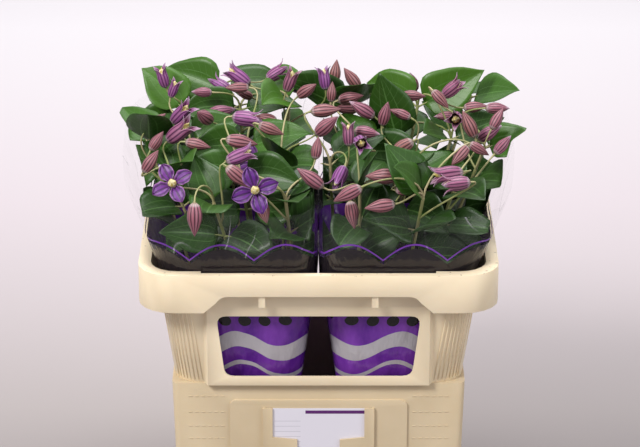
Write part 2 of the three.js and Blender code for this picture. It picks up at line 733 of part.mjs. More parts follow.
// Points spread over the leaf, halfway between its rows as well as on them.
function leafSamples(leaf) {
  const { neck, rows, tip } = leafSurface(leaf);
  const lines = [neck, ...rows, [tip, tip, tip]];
  const samples = [];
  for (let i = 1; i < lines.length; i++)
    for (const t of [0.33, 0.67, 1]) {
      const [a, b, c] = [0, 1, 2].map((k) => lines[i - 1][k].clone().lerp(lines[i][k], t));
      samples.push(a, a.clone().lerp(b, 0.5), b, b.clone().lerp(c, 0.5), c);
    }
  return samples;
}

// Where the tips of the leaves lie that stand out in the photo: across and up, as for the blooms.
const SEEN_LEAVES = [
  [-52, 251],
  [74, 250],
  [208, 258],
  [-247, 170],
];
const SEEN_LEAF = { length: 90, roll: 1.25 }; // usual length, and a roll that shows its face

// Each is borne by the stem that it suits best.
function plantSeenLeaves(stems) {
  SEEN_LEAVES.forEach(([across, up], n) => {
    let best = null;
    for (const stem of stems) {
      if (stem.leaves.length) continue;
      const base = stemPoint(stem, stem.tip - 3);
      const z = RIM_Z + (up - (base.y + RIM_Y) * Math.sin(SEEN_FROM)) / Math.cos(SEEN_FROM);
      const [dx, dz] = [across - base.x, z - base.z];
      const length = Math.hypot(dx, dz);
      const turn = dx < 0 ? Math.PI : 0;
      const rise = Math.atan2(dz, Math.abs(dx));
      const half = length * LEAF_WIDTH;
      const leaf = { base, side: stem.side, turn, rise, droop: 0, roll: SEEN_LEAF.roll, length, half };
      const { room, met } = roomFor(`stem${stem.id}`, leafSamples(leaf), 2, 24);
      leaf.room = room - met * 12 - 2 * Math.abs(length - SEEN_LEAF.length);
      if (!best || leaf.room > best.leaf.room) best = { stem, leaf };
    }
    const points = leafSamples(best.leaf);
    take(`seenleaf${n}`, points, points.map(() => 3));
    best.stem.leaves.push(best.leaf);
  });
}

// The other leaves stand in pairs, each pair at right angles to the next, and turn their faces forwards.
function plantLeaves(stem) {
  const start = chance(stem.id, 2) * TURN;
  const outward = Math.atan2(stem.v, stem.u);
  const pairs = stem.far < INNER_STEM ? 2 : 3;
  for (let pair = 0; pair < pairs; pair++)
    for (const opposite of [0, 1]) {
      const key = 200 + pair * 2 + opposite;
      if (key === 200 && stem.leaves.length) continue;
      const across = opposite * Math.PI;
      const plain = pair === 2 ? outward + across / 2 : start + pair * (Math.PI / 2) + across;
      const length = between(74, 98, stem.id, key, 1);
      const base = stemPoint(stem, stem.tip - 3 - NODE_SPACING * pair);
      let best = null;
      for (let attempt = 0; attempt < 40; attempt++) {
        const turn = plain + lerp(-1.1, 1.1, chance(stem.id, key, 10 + attempt));
        const leaf = {
          base,
          side: stem.side,
          turn,
          rise: lerp(pair === 0 ? 0.3 : 0.15, 1.2, chance(stem.id, key, 60 + attempt)),
          droop: between(0.05, 0.4, stem.id, key, 110 + attempt),
          roll: between(-0.5, 0.5, stem.id, key, 160 + attempt) + 0.8 * Math.cos(turn),
          length,
          half: length * LEAF_WIDTH,
        };
        const points = leafSamples(leaf);
        const { room, met } = roomFor(`stem${stem.id}`, points, 2, 24);
        const out = Math.max(...points.map((p) => reachIn(sectionAt(stem.side, p.z), p.x, p.y))) - 1.02;
        const tall = Math.max(...points.map((p) => p.z)) - LEAF_TOP;
        leaf.room = room - met * 12 - Math.max(0, out) * 60 - Math.max(0, tall) * 0.3;
        if (!best || leaf.room > best.room) best = leaf;
      }
      const points = leafSamples(best);
      take(`leaf${stem.id}.${key}`, points, points.map(() => 3));
      stem.leaves.push(best);
    }
}

function plan() {
  const stems = plantStems();
  for (const stem of stems) {
    const points = [];
    for (let z = RIM_Z - 60; z < stem.tip; z += 8) points.push(stemPoint(stem, z));
    take(`stem${stem.id}`, points, points.map(() => STEM_RADIUS + 0.5));
  }
  plantSeenLeaves(stems);
  plantSeenBlooms(stems);
  for (const stem of stems) plantMoreBlooms(stem);
  for (const stem of stems) plantLeaves(stem);
  return stems;
}

// Solids of the plants

// Heights at which the stem's line bends.
const STEM_BENDS = [BAND_Z + BAND_HEIGHT, 190, 265, FAN_TOP];

function stemRing(stem, z, radius) {
  const middle = stemPoint(stem, z);
  return Array.from({ length: STEM_SIDES }, (_, k) => {
    const turn = ((k + 0.5) / STEM_SIDES) * TURN;
    return at(middle.x + radius * Math.cos(turn), middle.y + radius * Math.sin(turn), z);
  });
}

function stemRings(stem, grow = 0) {
  const heights = [FLOOR + 0.3, ...STEM_BENDS, stem.tip + grow];
  return heights.map((z) => stemRing(stem, z, STEM_RADIUS + grow));
}

// A leaf on its three-sided neck. Both faces of the blade are split alike, so they never cross.
function leafSolid(leaf, grow = 0) {
  const { neck, rows, tip } = leafSurface(leaf, grow);
  const half = LEAF_THICK / 2 + grow;
  const aside = neck[2].clone().sub(neck[0]).normalize();
  const lift = aside.clone().cross(neck[1].clone().sub(leaf.base)).normalize();
  const corner = (middle, up, across) =>
    middle
      .clone()
      .addScaledVector(lift, up * (NECK_RADIUS + grow))
      .addScaledVector(aside, across * (NECK_RADIUS + grow));
  const triangle = (middle) => [
    corner(middle, 1, 0),
    corner(middle, -0.5, 0.9),
    corner(middle, -0.5, -0.9),
  ];
  const rings = rows.map(([left, middle, right], i) => {
    const before = (i > 0 ? rows[i - 1] : neck)[1];
    const after = i < rows.length - 1 ? rows[i + 1][1] : tip;
    const up = right.clone().sub(left).cross(after.clone().sub(before)).normalize().multiplyScalar(half);
    const top = [left, middle, right].map((p) => p.clone().add(up));
    const under = [right, middle, left].map((p) => p.clone().sub(up));
    return [...top, ...under];
  });
  const stalk = [triangle(leaf.base), triangle(neck[1])];
  return solidOf(skin([...stalk, ...rings, [tip]], { crossed: (k) => k === 1 || k === 4 }));
}

// Rings of a bloom: how far along it, the radius on the ridges of its four sepals and in the grooves
// between them, each as a share of the whole.
const BUD = { girth: 0.25, rings: [[0.2, 0.86, 0.74], [0.5, 0.96, 0.82]], end: 1 };
const BELL = { girth: 0.26, rings: [[0.2, 0.88, 0.76], [0.55, 1, 0.86]], end: 0.66 };
const BELL_TIP = [1.05, 1.45]; // where a bell's four tips end
const BELL_GAP = [0.74, 0.72]; // where they part
const STALK_STEPS = 3;

// Directions across the stalk at each of its rings, carried along it without twist.
function stalkFrames(stalk) {
  const normals = [];
  const binormals = [];
  for (let i = 0; i <= STALK_STEPS; i++) {
    const tangent = stalk.getTangentAt(i / STALK_STEPS);
    const before = normals[i - 1] ?? at(Math.SQRT1_2, Math.SQRT1_2, 0);
    normals.push(before.clone().addScaledVector(tangent, -before.dot(tangent)).normalize());
    binormals.push(tangent.clone().cross(normals[i]));
  }
  return { normals, binormals };
}

// A bloom and its stalk in one skin, which grows on from the rings of the stem where it ends the stem.
// An open flower's sepals are added to a short cone of stamens.
function bloomSolid(bloom, grow = 0, below = []) {
  const stalk = new THREE.CubicBezierCurve3(...bloom.line);
  const { normals, binormals } = stalkFrames(stalk);
  const round = (middle, radius, i, turn) =>
    middle
      .clone()
      .addScaledVector(normals[i], radius * Math.cos(turn))
      .addScaledVector(binormals[i], radius * Math.sin(turn));
  const rings = normals.map((_, i) => {
    const middle = stalk.getPointAt(i / STALK_STEPS);
    return [0, 1, 2, 3].map((k) => round(middle, STALK_RADIUS + grow, i, (k / 4) * TURN));
  });
  if (below.length) rings.splice(0, 1, ...below);
  const spot = (t, radius, turn) =>
    round(bloom.base.clone().addScaledVector(bloom.facing, t * bloom.length), radius, STALK_STEPS, turn);
  const { girth, rings: swells, end } = bloom.kind === "bud" ? BUD : BELL;
  const radius = bloom.length * girth;
  const star = (t, ridge, groove, gap = t) =>
    Array.from({ length: 8 }, (_, k) => {
      const [along, out] = k % 2 ? [gap, groove] : [t, ridge];
      return spot(along, radius * out + grow, (k / 8) * TURN);
    });
  if (bloom.kind === "open") {
    const middle = skin([...rings, ...stamens(spot, grow)]);
    return openBloom(bloom, middle, spot, grow);
  }
  rings.push(...swells.map(([t, ridge, groove]) => star(t, ridge, groove)));
  if (bloom.kind === "bell") rings.push(star(BELL_TIP[0], BELL_TIP[1], BELL_GAP[1], BELL_GAP[0]));
  return solidOf(skin([...rings, [spot(end + grow / bloom.length, 0, 0)]]));
}

function stamens(spot, grow) {
  const ring = (t, radius) => [0, 1, 2, 3].map((k) => spot(t, radius + grow, (k / 4) * TURN));
  return [ring(0.12, 4), ring(0.42, 3)];
}

// Four spread sepals round the stamens.
function openBloom(bloom, middle, spot, grow) {
  const size = bloom.length;
  const half = 0.6 + grow;
  const sepals = [0, 1, 2, 3].map((k) => {
    const turn = (k / 4) * TURN + 0.3;
    const row = (t, out, wide) =>
      [-wide, 0, wide].map((w) => spot(t + Math.abs(w) * 0.1, out * size, turn + w));
    const rings = [row(0.1, 0.06, 0.4), row(0.24, 0.42, 0.52)].map((points) => [
      ...points.map((p) => p.clone().addScaledVector(bloom.facing, half)),
      ...points.reverse().map((p) => p.clone().addScaledVector(bloom.facing, -half)),
    ]);
    const tip = spot(0.2, 0.8 * size, turn);
    return solidOf(skin([...rings, [tip]], { crossed: (i) => i === 1 || i === 4 }));
  });
  return wasm.Manifold.union([solidOf(middle), ...sepals]);
}

// Fusing and clearing

const boxesMeet = (a, b) => [0, 1, 2].every((k) => a.min[k] <= b.max[k] && b.min[k] <= a.max[k]);

// Cuts out of a solid whatever of the others it meets, each grown by the clearance.
function cutClear(solid, others) {
  let left = solid;
  for (const other of others) {
    if (left.isEmpty() || !boxesMeet(left.boundingBox(), other.boundingBox())) continue;
    left = left.subtract(other);
  }
  return left;
}

// Cuts a small block out of a body where it still meets a finished one.
function trimAgainst(body, finished) {
  const met = body.intersect(finished);
  if (met.isEmpty()) return body;
  const { min, max } = met.boundingBox();
  const [a, b] = [min.map((x) => x - CLEAR / 2), max.map((x) => x + CLEAR / 2)];
  return body.subtract(block(a[0], b[0], a[1], b[1], a[2], b[2]));
}

function largestBody(solid) {
  const bodies = solid.decompose();
  return bodies.reduce((best, body) => (body.volume() > best.volume() ? body : best), bodies[0]);
}

function stemSolids(stems, fixed) {
  const bare = stems.map((stem) => loft(...stemRings(stem, CLEAR)));
  const flowers = stems.map((stem) => stem.blooms.map((bloom) => bloomSolid(bloom, CLEAR)));
  const grownLeaves = [];
  const finished = [];
  for (const [i, stem] of stems.entries()) {
    const notOwn = (_, k) => k !== i;
    const others = [...bare.filter(notOwn), ...fixed];
    const inWay = [...others, ...flowers.slice(0, i).flat()];
    const blooms = stem.blooms.map((bloom) => cutClear(bloomSolid(bloom), inWay));
    const uncut = (bloom, k) => blooms[k].numTri() === bloomSolid(bloom).numTri();
    const last = stem.blooms.findIndex((bloom, k) => bloom.drop === 1 && uncut(bloom, k));
    const rings = stemRings(stem);
    const stalk = last < 0 ? loft(...rings) : bloomSolid(stem.blooms[last], 0, rings);
    if (last >= 0) blooms.splice(last, 1);
    const round = [...others, ...flowers.filter(notOwn).flat(), ...grownLeaves];
    const leaves = stem.leaves.map((leaf) => cutClear(leafSolid(leaf), round));
    grownLeaves.push(...stem.leaves.map((leaf) => leafSolid(leaf, CLEAR)));
    const whole = wasm.Manifold.union([stalk, ...blooms, ...leaves]);
    const body = largestBody(finished.reduce(trimAgainst, whole));
    finished.push(largestBody(body.simplify(0.05)));
  }
  return finished;
}

// A band of twelve flats that just clears the outermost stem.
function band(side) {
  const inner = (BUNDLE_RADIUS + STEM_RADIUS) / Math.cos(Math.PI / BAND_FLATS);
  const profile = [
    [inner, 0],
    [inner + BAND_THICK, 0],
    [inner + BAND_THICK, BAND_HEIGHT],
    [inner, BAND_HEIGHT],
    [inner, 0],
  ].map(([r, z]) => new THREE.Vector2(r, z));
  const ring = new THREE.LatheGeometry(profile, BAND_FLATS).rotateX(Math.PI / 2);
  return ring.translate(side * BUNDLE_X, 0, BAND_Z);
}

// The whole part

const plastic = new THREE.MeshStandardMaterial({ color: 0xe8d5b0, roughness: 0.45, metalness: 0 });
const paper = new THREE.MeshStandardMaterial({ color: 0xe6e2ee, roughness: 0.7, metalness: 0 });
const film = new THREE.MeshStandardMaterial({
  color: 0xb9a6c9,
  roughness: 0.15,
  metalness: 0,
  transparent: true,
  opacity: 0.35,
});
const clearWater = new THREE.MeshStandardMaterial({
  color: 0xbcd6d8,
  roughness: 0.05,
  metalness: 0,
  transparent: true,
  opacity: 0.4,
});
const elastic = new THREE.MeshStandardMaterial({ color: 0xb98a5a, roughness: 0.7, metalness: 0 });
const green = new THREE.MeshStandardMaterial({ color: 0x3f7a2c, roughness: 0.55, metalness: 0 });

const part = new THREE.Group();

function addNode(name, geometry, material) {
  const mesh = new THREE.Mesh(geometry, material);
  mesh.name = name;
  part.add(mesh);
}

const stems = plan();
addNode("container", geometryOf(container()), plastic);
addNode("collar", geometryOf(collar()), plastic);
addNode("card", geometryOf(card()), paper);
addNode("water", geometryOf(water(stems)), clearWater);
for (const [side, word] of [
  [-1, "left"],
  [1, "right"],
]) {
  addNode(`sleeve_${word}`, geometryOf(sleeve(side)), film);
  addNode(`band_${word}`, band(side), elastic);
}
const films = [sleeve(-1, 0.4), sleeve(1, 0.4)];
stemSolids(stems, films).forEach((solid, i) => {
  const word = stems[i].side < 0 ? "left" : "right";
  const number = String((i % STEMS_PER_BUNCH) + 1).padStart(2, "0");
  addNode(`clematis_${word}_${number}`, geometryOf(solid), green);
});

export default part;
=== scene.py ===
"""Two film-wrapped bunches of cut clematis, standing in a cream stacking flower container.

Lengths are worked out in millimetres and turned into metres where a mesh is made.
"""

import math

import bmesh
import bpy
import numpy as np
from mathutils import Matrix, Vector, noise

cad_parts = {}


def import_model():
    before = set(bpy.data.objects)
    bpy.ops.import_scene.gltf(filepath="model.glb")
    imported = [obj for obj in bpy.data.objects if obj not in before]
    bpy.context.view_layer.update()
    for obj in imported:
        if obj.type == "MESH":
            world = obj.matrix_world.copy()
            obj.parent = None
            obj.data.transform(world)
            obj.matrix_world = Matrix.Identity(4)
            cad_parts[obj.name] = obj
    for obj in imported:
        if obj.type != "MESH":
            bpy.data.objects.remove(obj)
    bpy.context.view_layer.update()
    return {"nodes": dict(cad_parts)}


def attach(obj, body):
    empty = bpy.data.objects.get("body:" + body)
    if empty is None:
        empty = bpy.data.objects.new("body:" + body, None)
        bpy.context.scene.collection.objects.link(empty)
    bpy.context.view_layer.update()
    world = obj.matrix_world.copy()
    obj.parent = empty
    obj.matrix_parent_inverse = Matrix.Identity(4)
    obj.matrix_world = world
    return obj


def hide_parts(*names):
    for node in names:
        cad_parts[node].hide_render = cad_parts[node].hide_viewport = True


MM = 0.001
TURN = 2 * math.pi
GOLDEN_TURN = math.pi * (3 - math.sqrt(5))
UP = np.array([0.0, 0.0, 1.0])

# Container and collar
CONTAINER_HEIGHT = 240
FOOT_Y = 121
MOUTH_Y = 128
FLOOR = 4
RIM_Z = 395
RIM_Y = 165
SKIRT = 48
FLANGE = 4
# The collar's wall: height, half width and half depth
COLLAR_LEVELS = [
    (CONTAINER_HEIGHT, 175.8, 126.8),
    (RIM_Z - SKIRT, 189, 139.5),
    (RIM_Z - FLANGE, 203.5, 152.5),
]
COLLAR_CORNER = 36
RIB_RADIUS = 0.45
RIBS_PER_CORNER = 8
RIBS_PER_HALF_SIDE = 17
RIB_PITCH_LOW = 5.1
RIB_PITCH_HIGH = 5.6
DASH_ROWS = (222, 201, 182, 165)
DASHES_PER_ROW = 6
DASH_X = 117
DASH_PITCH = 7.8
DASH_SIZE = (4.7, 1.1, 1.2)

# Stems and bands
STEMS_PER_BUNCH = 12
STEM_RADIUS = 2
BUNDLE_X = 80
BUNDLE_RADIUS = 10.2
BAND_Z = 105
BAND_HEIGHT = 8
FAN_TOP = 345
FAN_FILL = 0.84

# Film sleeves: height, inner side, outer side and half depth of the section
SLEEVE_LEVELS = np.array(
    [
        [50, 40, 120, 46],
        [CONTAINER_HEIGHT, 18, 158, 110],
        [RIM_Z - 55, 4, 181, 133],
        [RIM_Z, 1.1, 199.7, 148.7],
        [RIM_Z + 120, 1.1, 240, 182],
    ]
)
SLEEVE_FRONT = 79
SLEEVE_SIDE = 118
SQUARENESS = 6
INNER_SQUARENESS = 11
INSIDE_FILM = 0.96
FILM_COLUMNS = 72
FILM_HEIGHTS = [50, 90, 130, 170, 205, 240, 270, 305, 340, 368, 390, 400, 425, 450]

# Foliage and blooms: CLEAR is the gap that is kept free, ATTEMPTS the places tried for each
ATTEMPTS = 40
STALK_RADIUS = 1.3
CLEAR = 0.5
LEAF_FOLD = 0.3
LEAF_WIDTH = 0.29
LEAF_NECK = 0.1
NECK_RADIUS = 1.3
LEAF_ROWS = [(0.24, 0.94), (0.62, 0.8)]
NODE_SPACING = 44
INNER_STEM = 0.56
FEWEST_BLOOMS = 2
LEAF_TOP = RIM_Z + 165
BUD_GIRTH = 0.25
BELL_GIRTH = 0.26
BRUSH_RADIUS = 4.8
STALK_STEPS = 3
LONGEST_STALK = 105
MOST_BLOOMS = 5
OVER_EDGE = -17
SEEN_FROM = math.radians(22)

# Blooms read off the photo: across from the middle, up from the rim's front edge, the way it faces
# (0 right, 180 left, -90 to the front), its rise in degrees, its length and its kind.
SEEN_BLOOMS = [
    (-145, 66, -90, -75, 40, "hanging"),
    (-195, 249, 180, 75, 30, "bell"),
    (-180, 233, 0, 70, 25, "bell"),
    (-145, 228, 190, 5, 26, "bud"),
    (-101, 250, 170, 35, 37, "bell"),
    (-101, 233, 190, 3, 30, "bud"),
    (-52, 256, 10, 30, 32, "bell"),
    (-35, 243, 0, 70, 32, "bell"),
    (-21, 242, -10, 40, 32, "bell"),
    (-14, 228, -30, 38, 33, "bud"),
    (-168, 199, -20, 48, 37, "bell"),
    (-168, 175, -10, 40, 42, "bell"),
    (-140, 195, -120, 35, 37, "bud"),
    (-198, 188, 0, 42, 32, "bud"),
    (-120, 204, 10, 8, 37, "bud"),
    (-87, 191, -10, -5, 37, "bell"),
    (-57, 177, -10, -20, 33, "bud"),
    (-92, 161, 0, -10, 39, "bud"),
    (-93, 143, 10, 20, 37, "bell"),
    (-94, 117, -10, -40, 39, "bud"),
    (-200, 137, 10, 55, 33, "bud"),
    (-65, 76, -70, -40, 33, "bud"),
    (-10, 116, 180, 38, 39, "bud"),
    (-174, 111, -100, 35, 33, "open"),
    (-124, 102, -80, 30, 37, "open"),
    (-79, 137, -110, 25, 33, "open"),
    (21, 257, 40, 80, 33, "bud"),
    (41, 246, 180, 55, 33, "bud"),
    (40, 220, -10, 15, 33, "bud"),
    (53, 205, 180, 33, 37, "bud"),
    (74, 235, -20, 20, 30, "bud"),
    (9, 201, 0, 5, 37, "bud"),
    (81, 198, -30, 75, 33, "bud"),
    (104, 188, -20, 10, 32, "bud"),
    (118, 223, -10, 0, 30, "bud"),
    (119, 245, 180, 72, 26, "bud"),
    (166, 232, 0, 40, 33, "bell"),
    (182, 184, 170, 65, 37, "bud"),
    (220, 206, 0, 0, 30, "bud"),
    (209, 175, -10, 35, 35, "bud"),
    (168, 143, -135, -30, 33, "bud"),
    (98, 153, 190, -30, 37, "bud"),
    (75, 118, 180, 0, 39, "bud"),
    (151, 120, 190, -5, 40, "bell"),
    (25, 118, -120, -38, 33, "bell"),
    (34, 96, 190, -25, 37, "bud"),
    (2, 85, 180, 2, 35, "bud"),
    (72, 82, 190, -5, 37, "bud"),
    (10, 181, -10, 42, 37, "bud"),
    (59, 174, -10, -5, 32, "bud"),
    (-123, 239, 150, 20, 32, "bell"),
    (-93, 227, 200, 30, 26, "bud"),
    (7, 246, 120, 75, 30, "bell"),
    (-65, 195, 170, 10, 28, "bud"),
    (-195, 163, 30, 50, 28, "bud"),
    (-145, 158, -10, -10, 32, "bud"),
    (16, 226, 60, 80, 26, "bud"),
    (34, 209, 200, 10, 32, "bud"),
    (100, 199, 170, 20, 28, "bud"),
    (150, 217, -30, -40, 30, "bud"),
    (156, 199, 190, 0, 26, "bud"),
    (168, 192, -100, 10, 34, "bell"),
    (194, 209, 0, 5, 30, "bud"),
    (216, 190, 40, 50, 30, "bud"),
    (222, 158, 30, 40, 30, "bud"),
    (194, 153, -10, -30, 28, "bud"),
    (36, 171, 100, 75, 30, "bell"),
    (50, 159, -80, 5, 32, "bell"),
    (29, 155, 180, 0, 32, "bud"),
    (-2, 153, 70, 65, 28, "bud"),
    (161, 108, 185, -5, 34, "bell"),
    (79, 72, 210, -45, 32, "bud"),
    (40, 72, -60, -70, 34, "bud"),
    (-75, 100, -95, 20, 36, "open"),
    (10, 98, 0, -10, 32, "bud"),
    (106, 102, 0, 0, 30, "bud"),
]

# Where the tips of the leaves lie that stand out in the photo: across and up, as for the blooms.
SEEN_LEAVES = [(-52, 251), (74, 250), (208, 258), (-247, 170)]
SEEN_LEAF_LENGTH = 90
SEEN_LEAF_ROLL = 1.25

# A leaf blade's half width along its length, as a share of the leaf's own
LEAF_OUTLINE_T = [0.1, 0.13, 0.17, 0.24, 0.36, 0.5, 0.62, 0.76, 0.88, 0.95, 1]
LEAF_OUTLINE = [0.04, 0.44, 0.76, 1.0, 1.1, 1.04, 0.88, 0.58, 0.28, 0.11, 0.0]

# How far a bud and a bell swell along their length, as a share of their girth
SEPAL_T = [0, 0.04, 0.1, 0.2, 0.35, 0.5, 0.65, 0.8, 0.92, 1]
BUD_SWELL = [0.22, 0.5, 0.7, 0.86, 0.98, 0.95, 0.76, 0.48, 0.22, 0.03]
BELL_SWELL = [0.22, 0.52, 0.72, 0.88, 0.99, 1.0, 0.92, 0.95, 1.2, 1.5]

# Print on the film, in metres: the violet foot with its ribbons and dots, and the scalloped border
FOOT_TOP = 0.372
RIBBON_Z = 0.285
RIBBON_SWING = 0.011
RIBBON_TURNS = 62.0
DOT_Z = 0.322
DOT_CELL = 0.024
DOT_RADIUS = 0.0075
BORDER_Z = 0.404
SCALLOP_RISE = 0.022
SCALLOP_TURNS = 41.0

# Print on the card, in metres: a bar and plain rules
BAR_Z = 0.2022
RULE_Z = 0.176
RULE_GAP = 0.0035
RULES_TOP = 0.196

# Camera: its distance in metres, and the photo's pixels per millimetre at the rim
CAMERA_AWAY = 3.5
PIXELS_PER_MM = 0.844
PICTURE_WIDTH = 640
SENSOR = 36
RIM_ROW = 276
MIDDLE_ROW = 223.5


# Where the stems, leaves and blooms go: the same rule as in the part's source


def lerp(a, b, t):
    """The value a share t of the way from a to b."""
    return a + (b - a) * t


def clamp(x, low, high):
    return min(high, max(low, x))


def smooth(t):
    """A soft step from 0 to 1."""
    t = np.clip(t, 0, 1)
    return t * t * (3 - 2 * t)


def unit(v):
    return v / np.linalg.norm(v)


def chance(who, what, which=0):
    """A repeatable draw from 0 to 1 for a numbered choice."""
    t = ((who * 73 + what * 179 + which * 283 + 911) * 0x9E3779B1) & 0xFFFFFFFF
    t = ((t ^ (t >> 15)) * 0x85EBCA77) & 0xFFFFFFFF
    t = ((t ^ (t >> 13)) * 0xC2B2AE3D) & 0xFFFFFFFF
    return (t ^ (t >> 16)) / 4294967296


def between(low, high, who, what, which=0):
    """A repeatable draw from low to high."""
    return lerp(low, high, chance(who, what, which))


def heading(turn, rise):
    """The direction at a turn round the upright axis and a rise above level."""
    return np.array([math.cos(rise) * math.cos(turn), math.cos(rise) * math.sin(turn), math.sin(rise)])


def section_at(side, z):
    """Middle, half width and half depth of a sleeve at each height."""
    z = np.asarray(z, float)
    i = np.searchsorted(SLEEVE_LEVELS[1:4, 0], z, side="left")
    low, high = SLEEVE_LEVELS[i], SLEEVE_LEVELS[i + 1]
    t = np.clip((z - low[..., 0]) / (high[..., 0] - low[..., 0]), 0, 1.5)
    inner, outer, depth = (lerp(low[..., k], high[..., k], t) for k in (1, 2, 3))
    return side * (inner + outer) / 2, (outer - inner) / 2, depth


def film_top(forward):
    """Height of the film's top edge: lower in front, where forward is 1, than at the sides."""
    return RIM_Z + lerp(SLEEVE_SIDE, SLEEVE_FRONT, smooth(forward * 1.6 - 0.35))


def reach_in(side, p):
    """How far out points lie in the sleeve's section: 1 is on the film."""
    middle, width, depth = section_at(side, p[:, 2])
    across = np.abs((p[:, 0] - middle) / width)
    along = np.abs(p[:, 1] / depth)
    return (across**SQUARENESS + along**SQUARENESS) ** (1 / SQUARENESS)


def reach_limit(side, p):
    """How far out points may reach: just inside the film, and further above its top edge."""
    middle, _, _ = section_at(side, p[:, 2])
    length = np.hypot(p[:, 0] - middle, p[:, 1])
    length = np.where(length == 0, 1, length)
    top = film_top(np.maximum(0, -p[:, 1] / length))
    return INSIDE_FILM + np.maximum(0, (p[:, 2] - top) / 90)


def confine(side, p):
    """Draws points in to lie inside the film, and leaves them free above it."""
    reach = reach_in(side, p)
    scale = np.minimum(1, reach_limit(side, p) / np.where(reach == 0, 1, reach))
    middle, _, _ = section_at(side, p[:, 2])
    return np.stack([middle + (p[:, 0] - middle) * scale, p[:, 1] * scale, p[:, 2]], axis=1)


def plant_stems():
    """Stems spread evenly over both sleeves, and taller at the back."""
    stems = []
    for side in (-1, 1):
        for i in range(STEMS_PER_BUNCH):
            stem = {"id": len(stems), "side": side, "blooms": [], "leaves": []}
            far = math.sqrt((i + 0.5) / STEMS_PER_BUNCH)
            turn = i * GOLDEN_TURN + (0.4 if side < 0 else 2.1)
            stem["far"] = far
            stem["u"], stem["v"] = far * math.cos(turn), far * math.sin(turn)
            stem["squared"] = (math.cos(turn) ** 4 + math.sin(turn) ** 4) ** -0.25
            back = clamp(0.5 + 0.6 * stem["v"] * stem["squared"], 0, 1)
            stem["tip"] = RIM_Z + lerp(80, 122, back) + between(-12, 12, stem["id"], 1)
            stems.append(stem)
    return stems


def stem_point(stem, z):
    """The stem's axis: upright in the bundle, then fanning out to fill the sleeve."""
    spread = float(smooth((z - BAND_Z - BAND_HEIGHT) / (FAN_TOP - BAND_Z - BAND_HEIGHT)))
    middle, width, depth = (float(v) for v in section_at(stem["side"], z))
    sway = 9 * max(0, (z - RIM_Z) / 100)
    x = middle + stem["u"] * stem["squared"] * width * FAN_FILL
    y = stem["v"] * stem["squared"] * depth * FAN_FILL
    return np.array(
        [
            lerp(stem["side"] * BUNDLE_X + stem["u"] * BUNDLE_RADIUS, x, spread)
            + sway * math.cos(stem["id"] * 2.3),
            lerp(stem["v"] * BUNDLE_RADIUS, y, spread) + sway * math.sin(stem["id"] * 2.3),
            z,
        ]
    )


def bezier(line, t):
    """Points on the cubic curve through four control points."""
    t = np.asarray(t, float)[:, None]
    s = 1 - t
    return s**3 * line[0] + 3 * s * s * t * line[1] + 3 * s * t * t * line[2] + t**3 * line[3]


class Taken:
    """Balls that stand for what is already placed."""

    def __init__(self):
        self.owners = []
        self.ball = np.zeros((0, 4))
        self.owner = np.zeros(0, int)

    def take(self, name, points, radii):
        """Adds balls that belong to the named owner."""
        if name not in self.owners:
            self.owners.append(name)
        balls = np.column_stack([points, np.broadcast_to(radii, len(points))])
        self.ball = np.vstack([self.ball, balls])
        self.owner = np.append(self.owner, [self.owners.index(name)] * len(points))

    def room(self, own, points, radii, reach):
        """The smallest gap to what other owners hold, at most reach, and how many of them are met."""
        own = self.owners.index(own)
        middle = self.ball[:, :3]
        spare = reach + np.max(radii) + self.ball[:, 3:]
        close = (middle > points.min(axis=0) - spare) & (middle < points.max(axis=0) + spare)
        near = (self.owner != own) & (np.abs(middle[:, 2] - points[0, 2]) < 110) & close.all(axis=1)
        if not near.any():
            return reach, 0
        ball = self.ball[near]
        apart = np.sqrt(((points[:, None, :] - ball[None, :, :3]) ** 2).sum(axis=2))
        gap = apart - ball[None, :, 3] - np.broadcast_to(radii, len(points))[:, None]
        met = np.unique(self.owner[near][(gap < CLEAR).any(axis=0)])
        return min(reach, gap.min()), len(met)


def bloom_plan(stem, drop, base, facing, length, kind):
    """A bloom and its stalk, which leaves the stem a drop below its tip and bends to the base."""
    root = stem_point(stem, stem["tip"] - drop)
    far = np.linalg.norm(base - root)
    aside = (base - root) * [1, 1, 0]
    aside = aside / (np.linalg.norm(aside) or 1)
    away = unit(UP + aside * (1 if drop > 5 else 0.1))
    line = [
        root,
        root + away * clamp(0.45 * far, 10, 40),
        base - facing * clamp(0.4 * far, 10, 26),
        base,
    ]
    widths = [0.3, 0.66, 0.7, 0.4] if kind == "open" else [0.22, 0.27, 0.22, 0.1]
    axis = [base + facing * length * t for t in (0.12, 0.4, 0.7, 0.95)]
    stalk = bezier(line, [0.2, 0.35, 0.5, 0.65, 0.8, 0.95])
    return {
        "drop": drop,
        "facing": facing,
        "base": base,
        "length": length,
        "kind": kind,
        "line": line,
        "points": np.vstack([axis, stalk]),
        "radii": np.array([w * length + 0.4 for w in widths] + [STALK_RADIUS + 0.6] * 6),
    }


def weigh(taken, stem, plan, hanging=False):
    """How well a bloom fits: room round it, less what lies past the film or on a long stalk."""
    room, _ = taken.room(f"stem{stem['id']}", plan["points"], plan["radii"], 5)
    out = (reach_in(stem["side"], plan["points"]) - reach_limit(stem["side"], plan["points"])).max()
    out = 0 if hanging else out
    bend = np.linalg.norm(plan["line"][0] - plan["base"])
    return room - max(0, out) * 60 - max(0, bend - 75) * 0.05


def keep_bloom(taken, stem, plan, name):
    """Gives the bloom to the stem and marks its place as taken."""
    taken.take(name, plan["points"], plan["radii"])
    stem["blooms"].append(plan)


